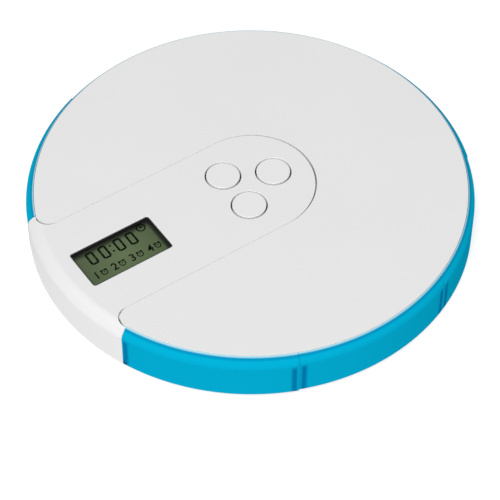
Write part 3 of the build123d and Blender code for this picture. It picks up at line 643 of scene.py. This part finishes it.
def blue_plastic():
    """Milky blue plastic, with painted shade of the dark slots beside the seams, a painted
    shadow line under the lid's edge and a painted highlight on the band's edge beside the lid.
    """
    finish, tree, shader = new_finish("band_blue")
    shader.inputs["Roughness"].default_value = 0.3
    shader.inputs["IOR"].default_value = 1.49
    shader.inputs["Specular IOR Level"].default_value = 0.0
    _, parts = object_place(tree)
    # angle to the nearest seam, about the middle of the disc
    half = math.radians(SECTOR / 2)
    angle = worked_out(tree, "ARCTAN2", parts["Y"], parts["X"])
    from_seam = worked_out(tree, "PINGPONG", worked_out(tree, "ADD", angle, half), half)
    # painted shade of the hollow slots, seen through the band beside each seam
    across = between(tree, from_seam, *[reach / OUTER for reach in SLOT_SHADE_ACROSS])
    upright = between(tree, parts["Z"], *SLOT_SHADE_UPRIGHT)
    slots = worked_out(tree, "MULTIPLY", across, upright)
    # up the shoulder: the band's blue, a thin deeper line of painted shadow, and a pale painted
    # highlight on the edge beside the lid
    band, deep, pale = colours().band, colours().band_deep, colours().band_rim
    line = [(1 - RIM_SHADOW_SHARE) * light + RIM_SHADOW_SHARE * dark for light, dark in zip(band, deep)]
    shoulder = ranged(tree, parts["Z"], TOP - sizes().shoulder_drop, TOP, kind="LINEAR")
    rim = tree.nodes.new("ShaderNodeValToRGB")
    for level, shade in zip(RIM_SHADOW_HIGHLIGHT_LEVELS, (band, line, line, pale)):
        rim.color_ramp.elements.new(level).color = (*shade, 1)
    rim.color_ramp.elements[0].color = (*band, 1)
    rim.color_ramp.elements[-1].color = (*pale, 1)
    tree.links.new(shoulder, rim.inputs["Fac"])
    colour = blended(tree, slots, rim.outputs["Color"], deep)
    tree.links.new(colour, shader.inputs["Base Color"])
    return finish


def clear_plastic():
    """Clear pane over the display."""
    finish, _, shader = new_finish("pane_clear")
    shader.inputs["Base Color"].default_value = (0.03, 0.04, 0.03, 1)
    shader.inputs["Roughness"].default_value = 0.06
    shader.inputs["IOR"].default_value = 1.49
    shader.inputs["Alpha"].default_value = 0.05
    return finish


def display_green():
    """Reflective display: grey-green, with a painted pool of light in its middle and painted
    shade along two edges.
    """
    finish, tree, shader = new_finish("display_green")
    shader.inputs["Roughness"].default_value = 0.5
    place, parts = object_place(tree)
    centre = tree.nodes.new("ShaderNodeMapping")
    centre.inputs["Location"].default_value = (LCD_LOW + LCD_HIGH) / (-2 * PAINTED_LIGHT_REACH)
    centre.inputs["Scale"].default_value = [1 / PAINTED_LIGHT_REACH] * 3
    # painted pool of light, brightest at the display's middle
    glow = tree.nodes.new("ShaderNodeTexGradient")
    glow.gradient_type = "SPHERICAL"
    tree.links.new(place, centre.inputs["Vector"])
    tree.links.new(centre.outputs["Vector"], glow.inputs["Vector"])
    green = tree.nodes.new("ShaderNodeValToRGB")
    for element, share in zip(green.color_ramp.elements, (PAINTED_LIGHT_EDGE, PAINTED_LIGHT_CENTRE)):
        element.color = (*[part * share for part in colours().display], 1)
    tree.links.new(glow.outputs["Fac"], green.inputs["Fac"])
    low, high = window_reach(0)
    top_shade = ranged(
        tree, parts["X"], *[low.x + reach for reach in SHADE_TOP], SHADE_LEAST)
    end_shade = ranged(
        tree, parts["Y"], *[high.y - reach for reach in SHADE_END], SHADE_LEAST)
    lit = worked_out(tree, "MULTIPLY", top_shade, end_shade)
    colour = blended(tree, lit, SHADE_COLOUR, green.outputs["Color"])
    tree.links.new(colour, shader.inputs["Base Color"])
    return finish


def display_ink():
    """Dull black of the display's dark bars."""
    finish, _, shader = new_finish("display_figures")
    shader.inputs["Base Color"].default_value = (*colours().glyph, 1)
    shader.inputs["Roughness"].default_value = 0.6
    shader.inputs["Specular IOR Level"].default_value = 0.0
    return finish


def finish_for(slot):
    """The material for one of the record's slots."""
    ready = bpy.data.materials.get("finish_" + slot)
    if ready:
        return ready
    makers = {
        "white_shell": lambda: plastic("shell_white", colours().shell, 0.42),
        "button_white": button_plastic,
        "blue_window": blue_plastic,
        "inner_white": lambda: plastic("inner_white", (0.74, 0.74, 0.74), 0.5),
        "cell_plastic": lambda: plastic("cell_white", (0.78, 0.78, 0.78), 0.45),
        "gear_plastic": lambda: plastic("gear_natural", (0.66, 0.63, 0.54), 0.45),
        "steel": lambda: metal("bright_steel", (0.56, 0.56, 0.57), 0.28),
        "spring_bronze": lambda: metal("spring_metal", (0.70, 0.60, 0.42), 0.32),
        "battery_jacket": lambda: plastic("battery_jacket", (0.03, 0.05, 0.09), 0.25),
        "circuit_board": lambda: plastic("board_green", (0.02, 0.13, 0.05), 0.4),
        "black_plastic": lambda: plastic("black_plastic", (0.015, 0.015, 0.016), 0.45),
        "display": display_green,
        "clear_pane": clear_plastic,
        "magnet": lambda: metal("magnet_nickel", (0.50, 0.50, 0.52), 0.2),
        "foot_rubber": lambda: plastic("foot_rubber", (0.035, 0.035, 0.037), 0.8),
    }
    finish = makers[slot]()
    finish.name = "finish_" + slot
    return finish


# ------------------------------------------------------------------ lid and arm
LID_CORNER_CUT = 8.0 * MM  # width of the cutter that rounds a corner of the lid
WINDOW_MARGIN = 0.1 * MM   # round the window, when the edges of its opening are picked
POST_RADIUS = 2.0 * MM
POST_HOLE = 0.8 * MM       # radius of the screw's hole in a post
POST_DEPTH = 3.0 * MM


def corner_centre(half, radius, corner):
    """Middle of a corner's arc that touches a straight side and the disc's edge."""
    x = half + corner
    return x, -math.sqrt((radius - corner) ** 2 - x ** 2)


def lid_blank(name, radius, half, corner, bottom, top, reach=0.0):
    """The lid's outline as a solid: disc, less the arm's keyhole, with rounded corners."""
    blank = drum(name, radius, bottom, top)
    below, above = bottom - PAST, top + PAST
    combine(blank, drum("keyhole_end", half, below, above, (0, reach)))
    combine(blank, slab("keyhole_sides", (-half, -2 * radius, below), (half, reach, above)))
    x, y = corner_centre(half, radius, corner)
    outward = math.degrees(math.atan2(y, x))
    for side, start, end in ((1, 180, 360 + outward), (-1, 180 - outward, 360)):
        tool = ring_part(
            "corner", corner, corner + LID_CORNER_CUT, below, above, start, end - start,
            steps=24, centre=(side * x, y))
        combine(blank, tool)
    return blank


def liner_wall(inset, bottom, top):
    """Solid inside the walls under the lid, moved inwards by the inset."""
    size = sizes()
    side = size.arm_half + size.liner_gap + inset
    round_end = DECK_HIGH.y + size.liner_gap + inset
    blank = drum("liner_wall", LINER_HIGH.y - inset, bottom, top)
    combine(blank, drum("round_end", round_end, bottom - PAST, top + PAST))
    sides = slab("sides", (-side, -2 * OUTER, bottom - PAST), (side, 0, top + PAST))
    return combine(blank, sides)


class DISPENSER_OT_lid(bpy.types.Operator):
    """White lift-off lid with the walls that carry its liner"""

    bl_idname = "dispenser.lid"
    bl_label = "Lid"

    def execute(self, context):
        size = sizes()
        half = size.arm_half + size.arm_gap
        lid = lid_blank("lid_shell", LID_RADIUS, half, size.lid_corner, SKIN_BOTTOM, TOP,
                        size.arm_reach)
        clean(lid)
        soften(lid, size.edge)
        walls = liner_wall(0, DECK_TOP, SKIN_BOTTOM + OVERLAP)
        combine(walls, liner_wall(size.lid_wall, DECK_TOP - PAST, SKIN_BOTTOM + PAST))
        combine(lid, walls, "UNION")
        smooth(clean(lid))
        put(lid, "lid", "white_shell", finish_for("white_shell"), "lid")
        return {"FINISHED"}


def window_reach(margin):
    """Lowest and highest corner of the display window, with a margin."""
    size = display_sizes()
    middle = (PANE_LOW + PANE_HIGH) / 2
    half = Vector((size.window_width / 2 + margin, size.window_length / 2 + margin, 0))
    return middle - half, middle + half


def window_block(name, grow, bottom, top, corner):
    """Block in the display window, with rounded upright edges."""
    low, high = window_reach(grow)
    block = slab(name, (low.x, low.y, bottom), (high.x, high.y, top))
    if corner > 0:
        pick(block, lambda points: abs(points[0].z - points[1].z) > 0.5 * (top - bottom))
        bpy.ops.mesh.bevel(offset=corner, segments=6, affect="EDGES")
        done()
    return block


def casing_blank():
    """Solid disc with the arm's rounded rim, sloping shoulder and upright wall."""
    size = sizes()
    seam = LID_RADIUS + size.lid_gap
    slope = math.atan2(OUTER - seam, size.shoulder_drop)
    face = drawn("head_shell", [
        (0, BAND_BOTTOM), (OUTER, BAND_BOTTOM), (OUTER, TOP - size.shoulder_drop),
        (seam, TOP), (0, TOP)])
    round_corner(face, (OUTER, TOP - size.shoulder_drop), size.shoulder_round, slope)
    round_corner(face, (seam, TOP), size.rim_round, math.pi / 2 - slope)
    blank = spun(face, 0, 360, steps=240)
    for level in (BAND_BOTTOM, TOP):
        pick(blank, at_level(level), "FACE")
        bpy.ops.mesh.dissolve_faces()
        done()
    return blank


def skirt_lap():
    """How far the arm's skirt reaches past its sector at each end, in degrees."""
    size = sizes()
    return math.degrees((size.arm_lap - size.seam_gap / 2) / OUTER)


def cut_to_arm(cover):
    """Leaves the arm of the casing: its sector, its keyhole and the skin over its hollow."""
    size = sizes()
    inner = OUTER - size.wall
    combine(cover, drum("inside", inner, BAND_BOTTOM - PAST, DECK_TOP))
    seat = lid_blank(
        "seat", LID_RADIUS + size.lid_gap, size.arm_half, size.arm_corner, DECK_TOP - PAST,
        TOP + PAST)
    combine(cover, seat)
    lap = skirt_lap()
    other = ring_part(
        "other_sectors", LID_RADIUS - RIM_DEPTH, OUTER + PAST, BAND_BOTTOM - PAST, TOP + PAST,
        ARM_END + lap, 360 - SECTOR - 2 * lap, steps=180)
    combine(cover, other)
    half = size.arm_half - size.wall
    hollow = drum("hollow", half, DECK_TOP - PAST, SKIN_BOTTOM, corners=120)
    sides = slab("sides", (-half, -OUTER, DECK_TOP - PAST), (half, 0, SKIN_BOTTOM))
    combine(hollow, sides, "UNION")
    inside = drum("inside", inner - size.wall / 2, DECK_TOP - 2 * PAST, TOP)
    combine(hollow, inside, "INTERSECT")
    combine(cover, hollow)


def cover_posts():
    """Screw posts under the head cover, over the cover screws."""
    half = sizes().arm_half
    inner = OUTER - sizes().wall
    far, middle_inset, middle_back, near_inset, near_rim = (
        3.8 * MM, 4.2 * MM, 30 * MM, 6.7 * MM, 5.0 * MM)
    return [
        (0.0, half - far),
        (middle_inset - half, -middle_back),
        (half - middle_inset, -middle_back),
        (near_inset - half, near_rim - inner),
        (half - near_inset, near_rim - inner),
    ]


def add_foot_and_posts(cover):
    """Adds the skirt's foot on the floor and the screw posts under the skin."""
    size = sizes()
    inner = OUTER - size.wall
    lap = skirt_lap()
    foot = ring_part(
        "foot", inner - size.lip_width, inner + OVERLAP, FLOOR_TOP,
        FLOOR_TOP + size.lip_height, ARM_START - lap, SECTOR + 2 * lap, steps=30)
    combine(cover, foot, "UNION")
    for place in cover_posts():
        post = drum("post", POST_RADIUS, DECK_TOP, SKIN_BOTTOM + OVERLAP, place, corners=32)
        combine(cover, post, "UNION")
        hole = drum(
            "hole", POST_HOLE, DECK_TOP - PAST, DECK_TOP + POST_DEPTH, place, corners=24)
        combine(cover, hole)


def round_opening(cover, low, high, width, segments):
    """Rounds the top edge of an opening that lies between two corners."""
    pick(cover, lambda points: all(
        point.z > TOP - NEAR and low.x < point.x < high.x and low.y < point.y < high.y
        for point in points))
    bpy.ops.mesh.bevel(offset=width, segments=segments, affect="EDGES")
    done()


def cut_openings(cover):
    """Cuts the display window and the button holes, and rounds their top edges."""
    display = display_sizes()
    bottom, top = SKIN_BOTTOM - PAST, TOP + PAST
    combine(cover, window_block("opening", 0, bottom, top, display.window_corner))
    radius = button_radius() + display.button_gap
    for number in BUTTONS:
        combine(cover, drum("hole", radius, bottom, top, button_place(number), corners=96))
    clean(cover, SLIVER)
    for number in BUTTONS:
        round_opening(cover, *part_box(f"button_cap_{number}"), display.hole_edge, segments=4)
    round_opening(cover, *window_reach(WINDOW_MARGIN), display.window_edge, segments=5)


class DISPENSER_OT_head_cover(bpy.types.Operator):
    """White arm with its round end, its skirt, the display window and the button holes"""

    bl_idname = "dispenser.head_cover"
    bl_label = "Head cover"

    def execute(self, context):
        cover = casing_blank()
        cut_to_arm(cover)
        add_foot_and_posts(cover)
        cut_openings(cover)
        soften(cover, sizes().edge, sharpest=60)
        smooth(cover, angle=32)
        put(cover, "housing", "white_shell", finish_for("white_shell"), "head_cover")
        return {"FINISHED"}


# ------------------------------------------------------------------ blue band
FIRST_SEGMENT = 1          # the segments on either side of the arm
LAST_SEGMENT = SECTORS - 1
PROUD_SEGMENTS = (1, 4, 7)


def band_profile(outer):
    """Section of the band: wall with sloping shoulder, ledge under the lid and foot."""
    size = sizes()
    inner = OUTER - size.wall
    lid_side = LID_RADIUS + size.lid_gap
    ledge = lid_side - size.lip_width
    ledge_top = SKIN_BOTTOM - size.seat_gap
    foot = inner - size.lip_width
    face = drawn("band_segment", [
        (lid_side, TOP),
        (lid_side, ledge_top),
        (ledge, ledge_top),
        (ledge, ledge_top - size.lip_height),
        (inner, ledge_top - size.lip_height),
        (inner, FLOOR_TOP + size.lip_height),
        (foot, FLOOR_TOP + size.lip_height),
        (foot, FLOOR_TOP),
        (inner, FLOOR_TOP),
        (inner, BAND_BOTTOM),
        (outer, BAND_BOTTOM),
        (outer, TOP - size.shoulder_drop),
    ])
    slope = math.atan2(outer - lid_side, size.shoulder_drop)
    round_corner(face, (outer, TOP - size.shoulder_drop), size.shoulder_round, slope)
    return face


def end_cutter(side):
    """Cutter that rounds the bottom corner of a blue end beside the arm."""
    size = sizes()
    radius = size.end_bottom
    edge = math.radians(-90 + side * SECTOR / 2) + side * size.arm_lap / OUTER
    length = RIM_DEPTH + PAST
    block = slab("end_block", (0, 0, 0), (radius, length, radius))
    bite = drum("end_round", radius, -length - PAST, length + PAST, corners=64)
    bite.rotation_euler.x = math.pi / 2
    bite.location = (radius, 0, radius)
    combine(block, settle(bite))
    outward = Vector((math.cos(edge), math.sin(edge), 0))
    along = Vector((-math.sin(edge), math.cos(edge), 0)) * side
    up = Vector((0, 0, 1))
    place = Matrix((along, outward, up)).transposed().to_4x4()
    place.translation = (
        outward * (OUTER - RIM_DEPTH) + along * size.seam_gap / 2
        + up * (BAND_BOTTOM - HAIR))
    block.data.transform(place)
    if place.determinant() < 0:
        block.data.flip_normals()
    return block


class DISPENSER_OT_band(bpy.types.Operator):
    """Seven blue segments of the band, from one side of the arm round to the other"""

    bl_idname = "dispenser.band"
    bl_label = "Blue band"

    def execute(self, context):
        size = sizes()
        gap = math.degrees(size.seam_gap / 2 / OUTER)
        lap = math.degrees(size.arm_lap / OUTER)
        for number in range(FIRST_SEGMENT, LAST_SEGMENT + 1):
            outer = OUTER if number in PROUD_SEGMENTS else OUTER - size.proud
            beside_arm = number in (FIRST_SEGMENT, LAST_SEGMENT)
            start = SECTOR * number + ARM_START + gap + (lap if number == FIRST_SEGMENT else 0)
            sweep = SECTOR - 2 * gap - (lap if beside_arm else 0)
            segment = spun(band_profile(outer), start, sweep, steps=36)
            named(segment, f"blue_segment_{number}")
            if beside_arm:
                combine(segment, end_cutter(1 if number == FIRST_SEGMENT else -1))
            clean(segment)
            soften(segment, size.band_edge, sharpest=60, segments=2)
            smooth(segment, angle=40)
            put(segment, "housing", "blue_window", finish_for("blue_window"),
                f"band_segment_{number}")
        return {"FINISHED"}


# ------------------------------------------------------------------ buttons
FLANGE_WIDTH = 1.0 * MM    # how far a button's flange stands out round it
FLANGE_THICKNESS = 0.5 * MM
FLANGE_GAP = 0.1 * MM      # between the flange and the skin over it
STEM_RADIUS = 1.4 * MM


def flange_radius():
    """Radius of a button's flange, which is the widest part of it."""
    low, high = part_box("button_cap_1")
    return (high.x - low.x) / 2


def button_radius():
    """Radius of the part of a button that is pressed."""
    return flange_radius() - FLANGE_WIDTH


def button_place(number):
    """Middle of a button, seen from above."""
    low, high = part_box(f"button_cap_{number}")
    return (low.x + high.x) / 2, (low.y + high.y) / 2


class DISPENSER_OT_buttons(bpy.types.Operator):
    """Three round buttons, each with its flange and stem"""

    bl_idname = "dispenser.buttons"
    bl_label = "Buttons"

    def execute(self, context):
        low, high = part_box("button_cap_1")
        flange_top = SKIN_BOTTOM - FLANGE_GAP
        flange_bottom = flange_top - FLANGE_THICKNESS
        pattern = drum("button", flange_radius(), flange_bottom, flange_top, corners=128)
        for level, radius, end in (
                (flange_top, button_radius(), high.z),
                (flange_bottom, STEM_RADIUS, low.z)):
            pick(pattern, at_level(level), "FACE")
            bpy.ops.mesh.inset(thickness=flange_radius() - radius)
            bpy.ops.mesh.extrude_region_move(
                TRANSFORM_OT_translate={"value": (0, 0, end - level)})
            done()
        rim = 0.9 * button_radius()
        pick(pattern, lambda points: all(
            abs(point.z - high.z) < NEAR and point.xy.length > rim for point in points))
        bpy.ops.mesh.bevel(
            offset=display_sizes().button_edge, segments=5, affect="EDGES")
        done()
        smooth(pattern, angle=40)
        for number in BUTTONS:
            button = copy_of(pattern, f"button_top_{number}")
            button.location = (*button_place(number), 0)
            settle(button)
            put(button, f"button_{number}", "button_white", finish_for("button_white"),
                f"button_cap_{number}")
        bpy.data.objects.remove(pattern, do_unlink=True)
        return {"FINISHED"}


# ------------------------------------------------------------------ display
# The display reads along +Y, with the top of its figures towards -X.
INK = 0.03 * MM            # thickness of the dark bars
BAR_POINT = 0.3            # share of a bar's width that is cut off each of its corners
ROW_X = -3.55 * MM         # middle of the large digits
COLON_Y = -56.0 * MM
COLON_SPREAD = 1.35 * MM   # from the row's middle to each dot of the colon
DOT_RADIUS = 0.42 * MM
PAIR_OFFSET = 3.05 * MM    # from the colon to the nearer digit's middle
DIGIT_PITCH = 5.05 * MM
CLOCK_PLACE = (-5.95 * MM, -42.7 * MM)
CLOCK_RADIUS = 1.8 * MM
CLOCK_STROKE = 0.5 * MM
CHANNELS = 4
CHANNEL_X = 4.1 * MM
CHANNEL_FIRST = -66.7 * MM
CHANNEL_PITCH = 7.25 * MM
CHANNEL_BELL = 3.05 * MM   # from a channel's number to its bell
BELL_RADIUS = 1.25 * MM
BELL_STROKE = 0.38 * MM
NUMBER_HEIGHT = 4.5 * MM
NUMBER_WEIGHT = 0.07 * MM  # added all round a number's strokes


def bar(length, width, place, lengthwise):
    """Bar with pointed ends, along Y or along X, on the display's glass."""
    half = Vector((width / 2, length / 2, 0))
    if not lengthwise:
        half = Vector((length / 2, width / 2, 0))
    middle = Vector((place[0], place[1], LCD_HIGH.z))
    piece = slab("bar", middle - half, middle + half + Vector((0, 0, INK)))
    pick(piece, lambda points: abs(points[0].z - points[1].z) > INK / 2)
    bpy.ops.mesh.bevel(offset=BAR_POINT * width, segments=1, affect="EDGES")
    done()
    return piece


def joined(name, pieces):
    """All the pieces as one."""
    take(pieces[0])
    for piece in pieces:
        piece.select_set(True)
    bpy.ops.object.join()
    return named(bpy.context.object, name)


def zero(middle_y):
    """Six lit bars that read as a nought."""
    size = display_sizes()
    width, height, stroke = size.digit_width, size.digit_height, size.stroke
    across = width - stroke
    tall = height / 2 - 0.45 * stroke    # a little apart from its neighbours
    bars = []
    for end in (-1, 1):
        cap_place = (ROW_X + end * (height - stroke) / 2, middle_y)
        bars.append(bar(across - 0.2 * stroke, stroke, cap_place, lengthwise=True))
        for side in (-1, 1):
            place = (ROW_X + end * (height - stroke) / 4, middle_y + side * across / 2)
            bars.append(bar(tall, stroke, place, lengthwise=False))
    return bars


def dot(place):
    """Round dot on the display's glass."""
    return drum("dot", DOT_RADIUS, LCD_HIGH.z, LCD_HIGH.z + INK, place, corners=24)


def hoop(place, radius, stroke, corners):
    """Thin ring on the display's glass."""
    return ring_part("hoop", radius - stroke, radius, LCD_HIGH.z, LCD_HIGH.z + INK, 0, 360,
                     steps=corners, centre=place)


def clock_sign(place):
    """Clock face: ring and two hands."""
    x, y = place
    long_hand, short_hand = 1.2 * MM, 0.9 * MM
    return [
        hoop(place, CLOCK_RADIUS, CLOCK_STROKE, corners=40),
        bar(long_hand, CLOCK_STROKE, (x - 0.5 * MM, y), lengthwise=False),
        bar(short_hand, CLOCK_STROKE, (x, y + 0.35 * MM), lengthwise=True),
    ]


def bell_sign(place):
    """Alarm clock: small ring with two ears and a hand."""
    x, y = place
    hand, hand_width = 0.7 * MM, 0.34 * MM
    ear_up, ear_out = 1.0 * MM, 0.85 * MM
    return [
        hoop(place, BELL_RADIUS, BELL_STROKE, corners=28),
        bar(hand, hand_width, (x - 0.2 * MM, y), lengthwise=False),
        *[dot((x - ear_up, y + side * ear_out)) for side in (-1, 1)],
    ]


def number_sign(number, place):
    """A plain number, made a flat mesh on the display's glass."""
    let_go()
    bpy.ops.object.text_add(location=(0, 0, 0))
    text = bpy.context.object
    text.data.body = str(number)
    text.data.size = NUMBER_HEIGHT
    text.data.align_x = "CENTER"
    text.data.align_y = "CENTER"
    text.data.extrude = INK / 2
    text.data.offset = NUMBER_WEIGHT
    bpy.ops.object.convert(target="MESH")
    figure = clean(bpy.context.object)
    figure.rotation_euler.z = math.pi / 2
    figure.location = (place[0], place[1], LCD_HIGH.z + INK / 2)
    return settle(figure)


def all_figures():
    """The time, the clock sign, and each channel's number and bell."""
    figures = []
    for side in (-1, 1):
        for step in (0, 1):
            figures += zero(COLON_Y + side * (PAIR_OFFSET + step * DIGIT_PITCH))
        figures.append(dot((ROW_X + side * COLON_SPREAD, COLON_Y)))
    figures += clock_sign(CLOCK_PLACE)
    for channel in range(CHANNELS):
        y = CHANNEL_FIRST + channel * CHANNEL_PITCH
        figures.append(number_sign(channel + 1, (CHANNEL_X, y)))
        figures += bell_sign((CHANNEL_X, y + CHANNEL_BELL))
    return joined("display_figures", figures)


class DISPENSER_OT_display(bpy.types.Operator):
    """Black lining and border of the display, and its dark figures"""

    bl_idname = "dispenser.display"
    bl_label = "Display"

    def execute(self, context):
        size = display_sizes()
        # lining of the window, from the pane up to just below the top
        lining = window_block(
            "window_lining", 0, PANE_HIGH.z, TOP - size.window_edge, size.window_corner)
        inside = window_block(
            "inside", -size.gasket, PANE_HIGH.z - PAST, TOP, size.window_corner - size.gasket)
        smooth(clean(combine(lining, inside)))
        put(lining, "housing", "black_plastic", finish_for("black_plastic"))
        # border printed on the display's glass, out to under the cover
        border = window_block("display_border", size.window_corner, LCD_HIGH.z,
                              LCD_HIGH.z + INK, 0)
        opening = window_block(
            "inside", -size.mask, LCD_HIGH.z - PAST, LCD_HIGH.z + PAST, 0)
        clean(combine(border, opening))
        put(border, "housing", "black_plastic", finish_for("black_plastic"))
        put(all_figures(), "housing", "display", display_ink())
        return {"FINISHED"}


class DISPENSER_OT_inner_finishes(bpy.types.Operator):
    """Finishes of the working parts inside and under the casing"""

    bl_idname = "dispenser.inner_finishes"
    bl_label = "Inner parts' finishes"

    def execute(self, context):
        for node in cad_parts.values():
            if node.hide_render:
                continue
            for place in node.material_slots:
                slot = place.material.name.removeprefix("finish_").split(".")[0]
                place.material = finish_for(slot)
        return {"FINISHED"}


# ------------------------------------------------------------------ studio
def towards(azimuth, elevation):
    """Direction from the object, given as the camera's azimuth and elevation are."""
    return Vector((math.sin(azimuth) * math.cos(elevation),
                   -math.cos(azimuth) * math.cos(elevation), math.sin(elevation)))


def place_camera():
    """Camera at the photograph's angle, with the middle of the lid on its own pixel."""
    setting = studio()
    azimuth, roll = setting.azimuth, setting.roll
    back = towards(azimuth, setting.elevation)
    level = Vector((math.cos(azimuth), math.sin(azimuth), 0))
    right = level * math.cos(roll) + back.cross(level) * math.sin(roll)
    up = back.cross(right)
    camera = bpy.data.objects.new("camera", bpy.data.cameras.new("camera"))
    bpy.context.scene.collection.objects.link(camera)
    camera.data.sensor_width = SENSOR_WIDTH
    camera.data.lens = setting.focal_pixels * SENSOR_WIDTH / FRAME_WIDTH
    tilt = math.atan((FRAME_WIDTH / 2 - setting.middle_y) / setting.focal_pixels)
    pan = math.atan((setting.middle_x - FRAME_WIDTH / 2) / setting.focal_pixels)
    aim = Matrix((right, up, back)).transposed()
    turn = Matrix.Rotation(pan, 3, "Y") @ Matrix.Rotation(-tilt, 3, "X")
    place = (aim @ turn).to_4x4()
    place.translation = Vector((0, 0, TOP)) + back * setting.distance
    camera.matrix_world = place
    bpy.context.scene.camera = camera


def place_key_light():
    """One large square soft light, aimed at the object."""
    setting = studio()
    back = towards(setting.key_azimuth, setting.key_elevation)
    light = bpy.data.lights.new("key", "AREA")
    light.size = setting.key_size
    light.energy = setting.key
    lamp = bpy.data.objects.new("key", light)
    bpy.context.scene.collection.objects.link(lamp)
    lamp.location = back * setting.key_distance
    lamp.rotation_euler = back.to_track_quat("Z", "Y").to_euler()


def floor_finish():
    """Pale matt floor that glows a little, so that it stays white round the shadow."""
    finish, _, shader = new_finish("floor_pale")
    shader.inputs["Base Color"].default_value = (*[studio().floor_shade] * 3, 1)
    shader.inputs["Roughness"].default_value = 0.9
    shader.inputs["Specular IOR Level"].default_value = 0.1
    shader.inputs["Emission Color"].default_value = (1, 1, 1, 1)
    shader.inputs["Emission Strength"].default_value = studio().floor_glow
    return finish


class DISPENSER_OT_stage(bpy.types.Operator):
    """Plain pale floor, soft studio light and the camera"""

    bl_idname = "dispenser.stage"
    bl_label = "Stage"

    def execute(self, context):
        let_go()
        bpy.ops.mesh.primitive_plane_add(size=studio().floor_size, location=(0, 0, 0))
        floor = settle(named(context.object, "floor"))
        floor.data.materials.append(floor_finish())
        world = bpy.data.worlds.new("surroundings")
        world.use_nodes = True
        background = world.node_tree.nodes["Background"]
        background.inputs["Color"].default_value = (1, 1, 1, 1)
        background.inputs["Strength"].default_value = studio().sky
        context.scene.world = world
        context.scene.view_settings.view_transform = "Standard"
        place_key_light()
        place_camera()
        return {"FINISHED"}


# ------------------------------------------------------------------ add-on
BUILD_STEPS = (
    DISPENSER_OT_lid,
    DISPENSER_OT_head_cover,
    DISPENSER_OT_band,
    DISPENSER_OT_buttons,
    DISPENSER_OT_display,
    DISPENSER_OT_inner_finishes,
    DISPENSER_OT_stage,
)
SETTINGS = {
    "casing_sizes": CasingSizes,
    "display_sizes": DisplaySizes,
    "finish_colours": FinishColours,
    "studio_settings": StudioSettings,
}


class DISPENSER_PT_build(bpy.types.Panel):
    """Lists the steps that build the dispenser"""

    bl_idname = "DISPENSER_PT_build"
    bl_label = "Pill dispenser"
    bl_space_type = "VIEW_3D"
    bl_region_type = "UI"
    bl_category = "Pill dispenser"

    def draw(self, context):
        for step in BUILD_STEPS:
            self.layout.operator(step.bl_idname)


def register():
    for group in SETTINGS.values():
        bpy.utils.register_class(group)
    for name, group in SETTINGS.items():
        setattr(bpy.types.Scene, name, bpy.props.PointerProperty(type=group))
    for step in BUILD_STEPS:
        bpy.utils.register_class(step)
    bpy.utils.register_class(DISPENSER_PT_build)


def unregister():
    bpy.utils.unregister_class(DISPENSER_PT_build)
    for step in reversed(BUILD_STEPS):
        bpy.utils.unregister_class(step)
    for name in SETTINGS:
        delattr(bpy.types.Scene, name)
    for group in reversed(list(SETTINGS.values())):
        bpy.utils.unregister_class(group)


def main():
    register()
    for step in BUILD_STEPS:
        area, name = step.bl_idname.split(".")
        getattr(getattr(bpy.ops, area), name)()


if __name__ == "__main__":
    main()
